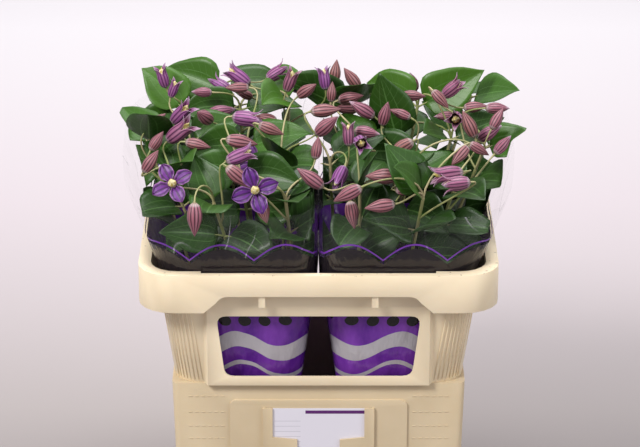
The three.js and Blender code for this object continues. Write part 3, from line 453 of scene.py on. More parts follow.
def plant_seen_blooms(taken, stems):
    """Puts each bloom read off the photo at the depth and on the stem where it fits best."""
    for n, (across, up, turn, rise, length, kind) in enumerate(SEEN_BLOOMS):
        facing = heading(math.radians(turn), math.radians(rise))
        hanging = kind == "hanging"
        likely = clamp((up - 96) * 1.77, 4, 290)
        best = None
        for shift in (0,) if hanging else (0, 16, -16, 34, -34, 54, -54):
            back = OVER_EDGE if hanging else clamp(likely + shift, -4, 300)
            z = RIM_Z + (up - back * math.sin(SEEN_FROM)) / math.cos(SEEN_FROM)
            base = np.array([across, back - RIM_Y, z]) - facing * length / 2
            for stem in stems:
                if len(stem["blooms"]) >= MOST_BLOOMS:
                    continue
                for drop in (1, 30):
                    root = stem_point(stem, stem["tip"] - drop)
                    if np.linalg.norm(root - base) > LONGEST_STALK:
                        continue
                    plan = bloom_plan(stem, drop, base, facing, length, "bud" if hanging else kind)
                    room = weigh(taken, stem, plan, hanging) - len(stem["blooms"]) - abs(shift) * 0.02
                    if best is None or room > best[0]:
                        best = (room, stem, plan)
        if best and best[0] > -3:
            keep_bloom(taken, best[1], best[2], f"seen{n}")


def plant_more_blooms(taken, stem):
    """Fills a stem up to the fewest blooms that it bears, where they find room."""
    me = stem["id"]
    for n in range(len(stem["blooms"]), FEWEST_BLOOMS):
        key = 10 + n
        kind = "bud" if chance(me, key, 1) < 0.75 else "bell"
        length = between(36, 46, me, key, 2)
        best = None
        for attempt in range(ATTEMPTS):
            drop = (attempt % 3) * 22 + 1
            turn = chance(me, key, 3) * TURN + attempt * GOLDEN_TURN
            facing = heading(turn, lerp(-0.7, 0.8, chance(me, key, 20 + attempt)))
            rise = between(34, 80, me, key, 70 + attempt)
            base = stem_point(stem, stem["tip"] - drop) + UP * rise
            base = base + heading(turn, 0) * between(4, 40, me, key, 120 + attempt)
            plan = bloom_plan(stem, drop, base, facing, length, kind)
            room = weigh(taken, stem, plan)
            if best is None or room > best[0]:
                best = (room, plan)
        if best[0] > 0:
            keep_bloom(taken, stem, best[1], f"more{me}.{n}")


def turned(v, axis, angle):
    """A vector turned about an axis."""
    return (
        v * math.cos(angle)
        + np.cross(axis, v) * math.sin(angle)
        + axis * np.dot(axis, v) * (1 - math.cos(angle))
    )


def leaf_row(leaf, t, half, across):
    """Points across the leaf at a share t of its length, folded up along the midrib."""
    forward = heading(leaf["turn"], leaf["rise"])
    spine = leaf["base"] + forward * leaf["length"] * t - UP * leaf["droop"] * leaf["length"] * t * t
    ahead = unit(forward * 0.1 - UP * leaf["droop"] * 0.2 * t)
    flat = turned(heading(leaf["turn"] + math.pi / 2, 0), ahead, leaf["roll"])
    up = -np.cross(flat, ahead)
    across = np.asarray(across, float)[:, None]
    return spine + flat * across * half + up * np.abs(across) * half * LEAF_FOLD


def leaf_samples(leaf):
    """Points all over a leaf, drawn inside the film."""
    side_way = heading(leaf["turn"] + math.pi / 2, 0)
    neck = leaf_row(leaf, LEAF_NECK, 0, [0])[0]
    lines = [np.array([neck + side_way * s * NECK_RADIUS for s in (-1, 0, 1)])]
    for t, share in LEAF_ROWS:
        lines.append(confine(leaf["side"], leaf_row(leaf, t, leaf["half"] * share, [-1, 0, 1])))
    tip = confine(leaf["side"], leaf_row(leaf, 1, 0, [0]))
    lines.append(np.repeat(tip, 3, axis=0))
    samples = []
    for before, after in zip(lines, lines[1:]):
        for t in (0.33, 0.67, 1):
            a, b, c = lerp(before, after, t)
            samples += [a, lerp(a, b, 0.5), b, lerp(b, c, 0.5), c]
    return np.array(samples)


def plant_seen_leaves(taken, stems):
    """Points a leaf of the best stem at each tip read off the photo."""
    for n, (across, up) in enumerate(SEEN_LEAVES):
        best = None
        for stem in stems:
            if stem["leaves"]:
                continue
            base = stem_point(stem, stem["tip"] - 3)
            z = RIM_Z + (up - (base[1] + RIM_Y) * math.sin(SEEN_FROM)) / math.cos(SEEN_FROM)
            dx, dz = across - base[0], z - base[2]
            length = math.hypot(dx, dz)
            leaf = {
                "base": base,
                "side": stem["side"],
                "turn": math.pi if dx < 0 else 0.0,
                "rise": math.atan2(dz, abs(dx)),
                "droop": 0.0,
                "roll": SEEN_LEAF_ROLL,
                "length": length,
                "half": length * LEAF_WIDTH,
            }
            room, met = taken.room(f"stem{stem['id']}", leaf_samples(leaf), 2, 24)
            score = room - met * 12 - 2 * abs(length - SEEN_LEAF_LENGTH)
            if best is None or score > best[0]:
                best = (score, stem, leaf)
        taken.take(f"seenleaf{n}", leaf_samples(best[2]), 3)
        best[1]["leaves"].append(best[2])


def plant_leaves(taken, stem):
    """Pairs of leaves down a stem, each at the turn and rise where it meets the least."""
    me = stem["id"]
    start = chance(me, 2) * TURN
    outward = math.atan2(stem["v"], stem["u"])
    for pair in range(2 if stem["far"] < INNER_STEM else 3):
        for opposite in (0, 1):
            key = 200 + pair * 2 + opposite
            if key == 200 and stem["leaves"]:
                continue
            across = opposite * math.pi
            plain = outward + across / 2 if pair == 2 else start + pair * (math.pi / 2) + across
            length = between(74, 98, me, key, 1)
            base = stem_point(stem, stem["tip"] - 3 - NODE_SPACING * pair)
            best = None
            for attempt in range(ATTEMPTS):
                turn = plain + lerp(-1.1, 1.1, chance(me, key, 10 + attempt))
                leaf = {
                    "base": base,
                    "side": stem["side"],
                    "turn": turn,
                    "rise": lerp(0.3 if pair == 0 else 0.15, 1.2, chance(me, key, 60 + attempt)),
                    "droop": between(0.05, 0.4, me, key, 110 + attempt),
                    "roll": between(-0.5, 0.5, me, key, 160 + attempt) + 0.8 * math.cos(turn),
                    "length": length,
                    "half": length * LEAF_WIDTH,
                }
                points = leaf_samples(leaf)
                room, met = taken.room(f"stem{me}", points, 2, 24)
                out = reach_in(stem["side"], points).max() - 1.02
                tall = points[:, 2].max() - LEAF_TOP
                score = room - met * 12 - max(0, out) * 60 - max(0, tall) * 0.3
                if best is None or score > best[0]:
                    best = (score, leaf)
            taken.take(f"leaf{me}.{key}", leaf_samples(best[1]), 3)
            stem["leaves"].append(best[1])


def plan_plants():
    """All stems with their leaves and blooms."""
    stems = plant_stems()
    taken = Taken()
    for stem in stems:
        heights = np.arange(RIM_Z - 60, stem["tip"], 8)
        axis = np.array([stem_point(stem, z) for z in heights])
        taken.take(f"stem{stem['id']}", axis, STEM_RADIUS + 0.5)
    plant_seen_leaves(taken, stems)
    plant_seen_blooms(taken, stems)
    for stem in stems:
        plant_more_blooms(taken, stem)
    for stem in stems:
        plant_leaves(taken, stem)
    return stems


# Making pieces


def placed(name, data):
    """A new object in the scene."""
    made = bpy.data.objects.new(name, data)
    bpy.context.scene.collection.objects.link(made)
    return made


def meshed(name, bm, material):
    """A new object from a bmesh in metres, which is used up."""
    mesh = bpy.data.meshes.new(name)
    bm.to_mesh(mesh)
    bm.free()
    mesh.materials.append(material)
    return placed(name, mesh)


def piece(name, bm, material, replaced=()):
    """Turns a bmesh in metres into a finished piece on the part's body."""
    made = meshed(name, bm, material)
    for face in made.data.polygons:
        face.use_smooth = True
    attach(made, "root")
    if replaced:
        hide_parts(*replaced)
    return made


def bend_grid(bm, across, along, place):
    """Adds a grid and puts each point where place(s, t) says, s from -1 to 1 and t from 0 to 1."""
    made = bmesh.ops.create_grid(bm, x_segments=across, y_segments=along, size=1)["verts"]
    at = np.array([(v.co.x, (v.co.y + 1) / 2) for v in made])
    where = place(at[:, 0], at[:, 1])
    for vert, co in zip(made, where):
        vert.co = Vector(co) * MM
    faces = {face for vert in made for face in vert.link_faces}
    uv = bm.loops.layers.uv.verify()
    share = {vert: spot for vert, spot in zip(made, at)}
    for face in faces:
        for loop in face.loops:
            s, t = share[loop.vert]
            loop[uv].uv = (s * 0.5 + 0.5, t)
    return made


def add_modifier(made, kind, **settings):
    """Adds a modifier of the kind, named after it, with the settings given."""
    modifier = made.modifiers.new(kind.title(), kind)
    for key, value in settings.items():
        setattr(modifier, key, value)


# Node materials


class Shade:
    """A material under construction, with short calls for its nodes."""

    def __init__(self, name):
        self.material = bpy.data.materials.new(name)
        self.material.use_nodes = True
        self.tree = self.material.node_tree
        self.skin = self.tree.nodes["Principled BSDF"]

    def node(self, kind, settings=None, **inputs):
        """A new node; inputs are sockets by name, with _ for a space."""
        made = self.tree.nodes.new(kind)
        for key, value in (settings or {}).items():
            setattr(made, key, value)
        for key, value in inputs.items():
            self.feed(made, key.replace("_", " "), value)
        return made

    def feed(self, node, socket, value):
        """Links another node's output to a socket, or sets the socket to a constant."""
        if isinstance(value, bpy.types.NodeSocket):
            self.tree.links.new(value, node.inputs[socket])
        else:
            node.inputs[socket].default_value = value

    def math(self, operation, a, b=0.0, c=None):
        """The result of a sum on two or three values."""
        made = self.tree.nodes.new("ShaderNodeMath")
        made.operation = operation
        for k, value in enumerate((a, b) if c is None else (a, b, c)):
            self.feed(made, k, value)
        return made.outputs[0]

    def times(self, a, b):
        """a times b."""
        return self.math("MULTIPLY", a, b)

    def object_axes(self, scale=None):
        """Object coordinates in metres, stretched by a scale for each axis."""
        coords = self.node("ShaderNodeTexCoord").outputs["Object"]
        if scale:
            mapping = self.node("ShaderNodeMapping", Vector=coords)
            mapping.inputs["Scale"].default_value = scale
            return mapping.outputs[0]
        return coords

    def split(self, vector=None):
        """The three parts of a vector, or else of the Object coordinates."""
        return self.node("ShaderNodeSeparateXYZ", Vector=vector or self.object_axes()).outputs

    def blade(self):
        """Where a point lies on a leaf or sepal: out from its midrib, along it, and its tint."""
        s, along, _ = self.split(self.node("ShaderNodeUVMap").outputs[0])
        across = self.math("ABSOLUTE", self.math("MULTIPLY_ADD", s, 2.0, -1.0))
        tint = self.node("ShaderNodeAttribute", {"attribute_name": "tint"}).outputs["Fac"]
        return across, along, tint

    def noise(self, scale, detail=3.0, roughness=0.5, vector=None):
        """Soft noise from 0 to 1 on the Object coordinates, or on a stretched copy of them."""
        made = self.node("ShaderNodeTexNoise", Scale=scale, Detail=detail, Roughness=roughness)
        self.feed(made, "Vector", vector or self.object_axes())
        return made.outputs["Fac"]

    def ramp(self, value, *stops):
        """Turns a value into a colour through stops of (place, colour)."""
        made = self.node("ShaderNodeValToRGB", Fac=value)
        ramp = made.color_ramp
        while len(ramp.elements) < len(stops):
            ramp.elements.new(0.5)
        for element, (place, colour) in zip(ramp.elements, stops):
            element.position = place
            element.color = (*colour, 1) if len(colour) == 3 else colour
        return made.outputs["Color"]

    def fade(self, value, start, end, low=0.0, high=1.0):
        """Grey that runs from low to high while the value runs from start to end."""
        return self.ramp(value, (start, (low,) * 3), (end, (high,) * 3))

    def mix(self, amount, a, b):
        """Colour a with an amount of colour b in it."""
        made = self.node("ShaderNodeMix", {"data_type": "RGBA"})
        self.feed(made, "Factor", amount)
        for socket, value in ((made.inputs[6], a), (made.inputs[7], b)):
            if isinstance(value, bpy.types.NodeSocket):
                self.tree.links.new(value, socket)
            else:
                socket.default_value = (*value, 1)
        return made.outputs[2]

    def bump(self, height, strength, distance):
        """Fine relief on the skin."""
        made = self.node("ShaderNodeBump", Height=height, Strength=strength, Distance=distance)
        self.feed(self.skin, "Normal", made.outputs[0])

    def set(self, **values):
        """Feeds the skin's sockets by name, with _ for a space."""
        for key, value in values.items():
            self.feed(self.skin, key.replace("_", " "), value)


def moulded_plastic(name, darker, lighter):
    """Cream plastic: cloudy, scuffed here and there, finely grained, and speckled on the rim."""
    shade = Shade(name)
    cloud = shade.noise(6, 4, 0.6)
    tone = shade.ramp(cloud, (0.3, darker), (0.7, lighter))
    scuffs = shade.noise(90, 6, 0.7, shade.object_axes((1, 1, 3)))
    worn = shade.times(shade.fade(scuffs, 0.66, 0.74), shade.fade(shade.noise(9, 2), 0.52, 0.66))
    tone = shade.mix(shade.times(worn, 0.35), tone, (0.5, 0.4, 0.28))
    on_rim = shade.math("GREATER_THAN", shade.split()[2], (RIM_Z - 0.6) * MM)
    specks = shade.times(shade.fade(shade.noise(150, 2, 0.6), 0.66, 0.7), on_rim)
    tone = shade.mix(shade.times(specks, 0.6), tone, (0.16, 0.1, 0.05))
    rough = shade.math("MULTIPLY_ADD", cloud, 0.2, 0.32)
    shade.set(Base_Color=tone, Roughness=rough, Specular_IOR_Level=0.45)
    shade.set(Subsurface_Weight=0.08, Subsurface_Radius=(0.01, 0.006, 0.003), Subsurface_Scale=0.2)
    shade.bump(shade.noise(900, 2), 0.12, 0.0002)
    return shade.material


def leaf_skin(name):
    """Glossy leaf: long main veins that follow the edge, a net between them and a paler back."""
    shade = Shade(name)
    across, along, tint = shade.blade()
    near_rib = shade.math("COMPARE", across, 0.0, 0.035)
    side_ribs = shade.math("COMPARE", shade.math("PINGPONG", across, 0.36), 0.36, 0.022)
    slant = shade.math("MULTIPLY_ADD", across, -0.22, along)
    cross_ribs = shade.math("COMPARE", shade.math("PINGPONG", slant, 0.055), 0.055, 0.006)
    ribs = shade.math("MAXIMUM", near_rib, shade.times(side_ribs, 0.7))
    ribs = shade.math("MAXIMUM", ribs, shade.times(cross_ribs, 0.3))
    cloud = shade.noise(35, 4, 0.6)
    # The tint's stops run from the dark of a deeply shaded leaf to the bright of a sunlit one: painted
    # shade and painted light.
    green = shade.ramp(
        tint,
        (0.0, (0.006, 0.018, 0.002)),
        (0.4, (0.019, 0.06, 0.006)),
        (0.75, (0.045, 0.13, 0.01)),
        (1.0, (0.085, 0.21, 0.018)),
    )
    green = shade.mix(shade.times(cloud, 0.5), green, (0.008, 0.03, 0.006))
    green = shade.mix(shade.times(ribs, 0.45), green, (0.12, 0.25, 0.07))
    back = shade.node("ShaderNodeNewGeometry").outputs["Backfacing"]
    green = shade.mix(shade.times(back, 0.3), green, (0.07, 0.14, 0.05))
    shade.set(Base_Color=green, Roughness=0.38, Specular_IOR_Level=0.34)
    height = shade.math("MULTIPLY_ADD", cloud, 0.5, shade.times(ribs, -0.7))
    shade.bump(height, 0.7, 0.0016)
    return shade.material


def sepal_skin(name):
    """Striped, slightly velvety sepals. The tint runs from dusky pink over mauve to deep violet."""
    shade = Shade(name)
    across, along, tint = shade.blade()
    stripes = shade.fade(shade.math("PINGPONG", across, 0.33), 0.07, 0.17)
    light = shade.ramp(
        tint,
        (0.0, (0.31, 0.125, 0.11)),
        (0.4, (0.33, 0.11, 0.155)),
        (0.75, (0.3, 0.085, 0.32)),
        (1.0, (0.1, 0.008, 0.24)),
    )
    dark = shade.ramp(
        tint,
        (0.0, (0.045, 0.01, 0.013)),
        (0.4, (0.045, 0.008, 0.02)),
        (0.75, (0.09, 0.01, 0.11)),
        (1.0, (0.03, 0.002, 0.09)),
    )
    tone = shade.mix(stripes, dark, light)
    pale_edge = shade.math("COMPARE", across, 1.0, 0.1)
    tone = shade.mix(shade.times(pale_edge, 0.3), tone, (0.5, 0.3, 0.36))
    base = shade.ramp(along, (0.0, (0.32, 0.3, 0.12)), (0.1, (1, 1, 1)))
    tone = shade.mix(shade.fade(along, 0.0, 0.14, 0.6, 0.0), tone, base)
    tone = shade.mix(shade.times(shade.noise(90, 3), 0.4), tone, (0.11, 0.03, 0.05))
    pale_tip = shade.fade(along, 0.8, 1.0, 0.0, 0.55)
    pale_tip = shade.times(pale_tip, shade.math("COMPARE", tint, 0.6, 0.25))
    tone = shade.mix(pale_tip, tone, (0.62, 0.5, 0.62))
    shade.set(Base_Color=tone, Roughness=0.45, Sheen_Weight=0.06, Sheen_Roughness=0.4)
    shade.bump(stripes, 0.5, 0.0008)
    return shade.material


def stalk_skin(name):
    """Green to straw-coloured bark with a fine grain."""
    shade = Shade(name)
    tone = shade.ramp(shade.noise(25, 3), (0.35, (0.2, 0.24, 0.07)), (0.65, (0.42, 0.36, 0.2)))
    shade.set(Base_Color=tone, Roughness=0.5)
    shade.bump(shade.noise(400, 2), 0.2, 0.0003)
    return shade.material


def stamen_skin(name):
    """Mottled yellow, rough like a brush."""
    shade = Shade(name)
    tone = shade.ramp(shade.noise(300, 2), (0.4, (0.45, 0.35, 0.08)), (0.6, (0.75, 0.68, 0.4)))
    shade.set(Base_Color=tone, Roughness=0.7)
    shade.bump(shade.noise(700, 2), 0.6, 0.0006)
    return shade.material


def printed_film(name):
    """Clear film with a violet foot, pale ribbons and dark dots on it, and a smoky scalloped border."""
    shade = Shade(name)
    x, y, z = shade.split()
    round_way = shade.math("ADD", shade.math("ABSOLUTE", x), shade.times(y, 0.6))

    # The foot's ribbons and dots
    foot = shade.math("LESS_THAN", z, FOOT_TOP)
    above = shade.math("SUBTRACT", 1.0, foot)
    wave = shade.math("SINE", shade.times(round_way, RIBBON_TURNS))
    ribbon_z = shade.math("MULTIPLY_ADD", wave, RIBBON_SWING, RIBBON_Z)
    ribbon = shade.math("COMPARE", z, ribbon_z, 0.011)
    low_ribbon = shade.math("COMPARE", z, shade.math("SUBTRACT", ribbon_z, 0.034), 0.003)
    ribbons = shade.math("MAXIMUM", ribbon, low_ribbon)
    cell = shade.math("SUBTRACT", shade.math("PINGPONG", round_way, DOT_CELL), DOT_CELL / 2)
    drop = shade.math("SUBTRACT", z, DOT_Z)
    away = shade.math(
        "SQRT", shade.math("ADD", shade.math("POWER", cell, 2.0), shade.math("POWER", drop, 2.0))
    )
    dots = shade.math("LESS_THAN", away, DOT_RADIUS)

    # The scalloped border and the thin line over it
    scallop = shade.math("ABSOLUTE", shade.math("SINE", shade.times(x, SCALLOP_TURNS)))
    border_top = shade.math("MULTIPLY_ADD", scallop, SCALLOP_RISE, BORDER_Z)
    border = shade.times(shade.math("LESS_THAN", z, border_top), above)
    line = shade.math("COMPARE", z, shade.math("ADD", border_top, 0.006), 0.0012)
    line = shade.times(line, above)

    # Inks, glints and how much each covers
    creases = shade.noise(22, 4, 0.65, shade.object_axes((1, 1, 0.35)))
    violet = shade.ramp(creases, (0.35, (0.1, 0.015, 0.27)), (0.7, (0.25, 0.06, 0.5)))
    ink = shade.mix(ribbons, violet, (0.5, 0.48, 0.52))
    ink = shade.mix(dots, ink, (0.012, 0.01, 0.012))
    ink = shade.mix(above, ink, (0.3, 0.31, 0.31))
    ink = shade.mix(border, ink, (0.02, 0.016, 0.02))
    ink = shade.mix(line, ink, (0.2, 0.05, 0.45))
    wrinkles = shade.noise(14, 1, 0.4, shade.object_axes((1, 1, 0.3)))
    glints = shade.math("COMPARE", wrinkles, 0.52, 0.004)
    glints = shade.times(glints, shade.fade(creases, 0.4, 0.6))
    glints = shade.times(glints, shade.math("SUBTRACT", above, border))
    ink = shade.mix(glints, ink, (0.6, 0.58, 0.64))
    alpha = shade.fade(creases, 0.5, 0.75, 0.025, 0.07)
    for mark, cover in ((glints, 0.22), (foot, 0.93), (border, 0.86), (line, 0.85)):
        alpha = shade.math("MAXIMUM", alpha, shade.times(mark, cover))
    shade.set(Base_Color=ink, Roughness=0.14, Specular_IOR_Level=0.45, Alpha=alpha)
    shade.bump(creases, 0.9, 0.006)
    return shade.material


def printed_card(name):
    """Pale card with a violet bar and a block of thin grey rules."""
    shade = Shade(name)
    x, _, z = shade.split()
    bar = shade.math("COMPARE", z, BAR_Z, 0.0022)
    bar = shade.times(bar, shade.math("GREATER_THAN", x, -0.016))
    rows = shade.math("PINGPONG", shade.math("SUBTRACT", z, RULE_Z), RULE_GAP)
    rule = shade.math("COMPARE", rows, 0.0, 0.0003)
    rule = shade.times(rule, shade.math("LESS_THAN", x, -0.022))
    rule = shade.times(rule, shade.math("GREATER_THAN", x, -0.054))
    rule = shade.times(rule, shade.math("LESS_THAN", z, RULES_TOP))
    tone = shade.mix(bar, (0.76, 0.74, 0.82), (0.1, 0.015, 0.14))
    tone = shade.mix(shade.times(rule, 0.5), tone, (0.25, 0.23, 0.3))
    shade.set(Base_Color=tone, Roughness=0.45)
    shade.bump(shade.noise(600, 3), 0.1, 0.0002)
    return shade.material


def still_water(name):
    """Clear water with a faint ripple."""
    shade = Shade(name)
    shade.set(Base_Color=(0.75, 0.84, 0.82, 1), Roughness=0.04, Transmission_Weight=0.9, IOR=1.33)
    shade.bump(shade.noise(60, 2), 0.1, 0.001)
    return shade.material


def elastic(name):
    """Tan rubber with a drawn grain."""
    shade = Shade(name)
    tone = shade.ramp(shade.noise(80, 3), (0.3, (0.4, 0.24, 0.12)), (0.7, (0.55, 0.36, 0.2)))
    shade.set(Base_Color=tone, Roughness=0.65)
    shade.bump(shade.noise(500, 2, 0.5, shade.object_axes((1, 1, 0.1))), 0.3, 0.0004)
    return shade.material


# Stems, leaves and blooms


def stem_lines(stem, material):
    """The stem, its arching flower stalks and its leaf stalks as round cords in one curve."""
    name = f"stem_{stem['name']}"
    curve = bpy.data.curves.new(name, "CURVE")
    curve.dimensions = "3D"
    curve.bevel_depth = STEM_RADIUS * MM
    curve.bevel_resolution = 1
    curve.use_fill_caps = True
    heights = [FLOOR + 0.3, 60, BAND_Z + BAND_HEIGHT, 150, 190, 228, 265, 305, FAN_TOP]
    heights += list(np.linspace(FAN_TOP + 15, stem["tip"], 6))
    runs = [([stem_point(stem, z) for z in heights], [1.0] * len(heights))]
    for bloom in stem["blooms"]:
        points = bezier(bloom["line"], np.linspace(0, 1, 11))
        taper = np.linspace(0.72, 0.5, 10).tolist() + [0.7]
        runs.append((list(points) + [bloom["base"] + bloom["facing"] * 2], taper + [0.75]))
    for leaf in stem["leaves"]:
        runs.append(([leaf_row(leaf, t, 0, [0])[0] for t in (0, LEAF_NECK, 0.15)], [0.7, 0.6, 0.3]))
    for points, radii in runs:
        spline = curve.splines.new("POLY")
        spline.points.add(len(points) - 1)
        for spot, co, radius in zip(spline.points, points, radii):
            spot.co = (*(Vector(co) * MM), 1)
            spot.radius = radius
    curve.materials.append(material)
    made = placed(name, curve)
    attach(made, "root")
    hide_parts(stem["node"])


def leaf_place(leaf, s, t, seed):
    """Points of a leaf's middle surface, with a curled edge and a pointed tip."""
    points = []
    for across, along in zip(s, lerp(LEAF_NECK, 1, t)):
        half = leaf["half"] * float(np.interp(along, LEAF_OUTLINE_T, LEAF_OUTLINE))
        point = leaf_row(leaf, along, half, [across])[0]
        belly = math.sin(math.pi * along)
        wave = math.sin(along * 11 + seed) * abs(across) ** 2 * 1.6
        cup = -2.2 * abs(across) * (1 - abs(across)) * belly
        points.append(point + UP * (wave + cup) * belly**0.5)
    return confine(leaf["side"], np.array(points))


def leaf_blades(stem, material):
    """The stem's leaves as one thin piece; their tint runs from dark low in the bunch to bright high
    up, with a random spread: painted shade and painted sunlight.
    """
    bm = bmesh.new()
    tint = bm.verts.layers.float.new("tint")
    for n, leaf in enumerate(stem["leaves"]):
        seed = chance(stem["id"], 900 + n)
        verts = bend_grid(bm, 8, 12, lambda s, t: leaf_place(leaf, s, t, seed * 6))
        # Painted shade and light: the higher a leaf starts above the rim, the brighter its tint; the
        # rest is a random spread.
        high = clamp((leaf["base"][2] - RIM_Z) / 130, 0, 1)
        for vert in verts:
            vert[tint] = clamp(0.15 + 0.5 * high + 0.45 * (seed - 0.3), 0, 1)
    bmesh.ops.remove_doubles(bm, verts=bm.verts, dist=0.05 * MM)
    made = piece(f"leaves_{stem['name']}", bm, material, [stem["node"]])
    add_modifier(made, "SOLIDIFY", thickness=0.6 * MM, offset=0.0)


def bloom_frame(bloom):
    """Directions across the bloom, carried along the stalk without twist."""
    line = bloom["line"]
    t = np.linspace(0, 1, 201)
    walked = np.concatenate([[0], np.cumsum(np.linalg.norm(np.diff(bezier(line, t), axis=0), axis=1))])
    normal = np.array([math.sqrt(0.5), math.sqrt(0.5), 0])
    for k in range(STALK_STEPS + 1):
        share = float(np.interp(walked[-1] * k / STALK_STEPS, walked, t))
        ends = bezier(line, [max(0, share - 1e-4), min(1, share + 1e-4)])
        tangent = unit(ends[1] - ends[0])
        normal = unit(normal - tangent * np.dot(normal, tangent))
    return normal, np.cross(tangent, normal)


def sepal_place(bloom, quarter, normal, binormal, s, t):
    """Points of one of a bloom's four sepals: s across it, t from base to tip."""
    length, facing = bloom["length"], bloom["facing"]
    turn = quarter * TURN / 4
    if bloom["kind"] == "open":
        wide = 0.78 * np.interp(t, [0, 0.15, 0.5, 0.8, 1], [0.5, 0.85, 1, 0.7, 0.05])
        angle = turn + 0.3 + s * wide * np.interp(t, [0, 0.3, 1], [1.2, 1, 0.6])
        crinkle = 1.4 * s**2 * np.sin(t * 19 + quarter * 2 + s * 3)
        folds = np.abs(s) * 2.5 - 1.5 * np.cos(s * 9) + crinkle
        ahead = length * (0.1 + 0.16 * np.sin(t * 2.2)) + folds
        radius = length * (0.05 + 0.76 * t)
    else:
        bud = bloom["kind"] == "bud"
        girth = length * (BUD_GIRTH if bud else BELL_GIRTH)
        swell = np.interp(t, SEPAL_T, BUD_SWELL if bud else BELL_SWELL)
        free = np.clip((t - 0.6) / 0.4, 0, 1)
        parted = 0 if bud else free
        angle = turn + s * (1 - parted**1.3 * 0.97) * TURN / 8
        groove = 1 - 0.15 * np.abs(s) ** 1.5 * (1 - parted)
        ribs = 1 + 0.018 * np.cos(s * 3 * TURN / 2)
        radius = girth * swell * groove * ribs
        ahead = length * (t if bud else t * 1.03 - 0.05 * free**2)
    across = normal * np.cos(angle)[:, None] + binormal * np.sin(angle)[:, None]
    return bloom["base"] + facing * np.asarray(ahead)[:, None] + across * radius[:, None]


def bloom_sepals(stem, material):
    """The stem's blooms as one thin piece; their tint tells buds, bells and open flowers apart."""
    bm = bmesh.new()
    tint = bm.verts.layers.float.new("tint")
    for n, bloom in enumerate(stem["blooms"]):
        normal, binormal = bloom_frame(bloom)
        draw = chance(stem["id"], 950 + n)
        low, more = {"bud": (0, 0.5), "bell": (0.45, 0.35), "open": (0.92, 0.08)}[bloom["kind"]]
        for quarter in range(4):
            verts = bend_grid(
                bm, 6, 12, lambda s, t: sepal_place(bloom, quarter, normal, binormal, s, t)
            )
            for vert in verts:
                vert[tint] = low + more * draw
    bmesh.ops.remove_doubles(bm, verts=bm.verts, dist=0.12 * MM)
    bmesh.ops.recalc_face_normals(bm, faces=bm.faces)
    made = piece(f"blooms_{stem['name']}", bm, material, [stem["node"]])
    add_modifier(made, "SOLIDIFY", thickness=0.45 * MM, offset=-1.0)


def stamen_brushes(stem, material):
    """The stem's short brushes of stamens: in the open flowers, and deeper down in the bells."""
    bm = bmesh.new()
    for bloom in stem["blooms"]:
        if bloom["kind"] == "bud":
            continue
        half, sunk = (8, 0.27) if bloom["kind"] == "open" else (bloom["length"] * 0.4, 0.45)
        made = bmesh.ops.create_uvsphere(bm, u_segments=14, v_segments=9, radius=1)["verts"]
        for vert in made:
            bump = 1 + 0.5 * noise.noise(vert.co * 5)
            wide = BRUSH_RADIUS * bump
            vert.co = Vector((wide * vert.co.x, wide * vert.co.y, half * vert.co.z * bump)) * MM
        aim = Vector(bloom["facing"]).to_track_quat("Z", "Y").to_matrix().to_4x4()
        place = Vector(bloom["base"] + bloom["facing"] * bloom["length"] * sunk) * MM
        bmesh.ops.transform(bm, matrix=Matrix.Translation(place) @ aim, verts=made)
    if bm.verts:
        piece(f"stamens_{stem['name']}", bm, material, [stem["node"]])
    else:
        bm.free()


# Film sleeves


def sleeve(side, material):
    """A film sleeve: a ring drawn up level by level, softly folded, and flat where the two press."""
    word = "left" if side < 0 else "right"
    bm = bmesh.new()
    heights = [*FILM_HEIGHTS, None]
    ring = bmesh.ops.create_circle(bm, segments=FILM_COLUMNS, radius=1)["verts"]
    edges = list({edge for vert in ring for edge in vert.link_edges})
    turns = [math.atan2(vert.co.y, vert.co.x) for vert in ring]
    rings = [list(zip(ring, turns))]
    for _ in heights[1:]:
        grown = bmesh.ops.extrude_edge_only(bm, edges=edges)["geom"]
        edges = [item for item in grown if isinstance(item, bmesh.types.BMEdge)]
        verts = [item for item in grown if isinstance(item, bmesh.types.BMVert)]
        rings.append([(vert, math.atan2(vert.co.y, vert.co.x)) for vert in verts])
    for level, ring in zip(heights, rings):
        for vert, turn in ring:
            c, s = math.cos(turn), math.sin(turn)
            z = level or float(film_top(max(0, -s))) - 1.5 + 1.5 * math.sin(7 * turn)
            middle, width, depth = (float(v) for v in section_at(side, z))
            square = INNER_SQUARENESS if side * c < 0 and z > FAN_TOP else SQUARENESS
            far = (abs(c) ** square + abs(s) ** square) ** (-1 / square)
            free = clamp(abs(z - RIM_Z) / 40, 0.1, 1)
            fold = noise.noise(Vector((4 * c + side * 9, 4 * s, z / 130))) * 2.4 * free - 0.6 * free
            x = middle + (width + fold) * c * far
            x = side * max(0.2, side * x - 1) if z > FAN_TOP else x
            vert.co = Vector((x, (depth + fold) * s * far, z)) * MM
    bmesh.ops.recalc_face_normals(bm, faces=bm.faces)
    made = piece(f"film_{word}", bm, material, [f"sleeve_{word}"])
    add_modifier(made, "SOLIDIFY", thickness=0.25 * MM, offset=1.0)


# Container and collar


def moulded_copy(name, node, material, bevel):
    """A finer skin over a moulded part: its flats merged, its edges rounded off."""
    bm = bmesh.new()
    bm.from_mesh(node.data)
    bmesh.ops.remove_doubles(bm, verts=bm.verts, dist=0.002 * MM)
    bmesh.ops.dissolve_limit(bm, angle_limit=math.radians(0.6), verts=bm.verts, edges=bm.edges)
    made = piece(name, bm, material, [node.name])
    add_modifier(
        made,
        "BEVEL",
        width=bevel * MM,
        segments=2,
        limit_method="ANGLE",
        angle_limit=math.radians(38),
        harden_normals=True,
    )


def wall_at(z):
    """Half width and half depth of the collar's wall at height z."""
    low, middle, high = COLLAR_LEVELS
    a, b = (low, middle) if z < middle[0] else (middle, high)
    t = (z - a[0]) / (b[0] - a[0])
    return lerp(a[1], b[1], t), lerp(a[2], b[2], t)


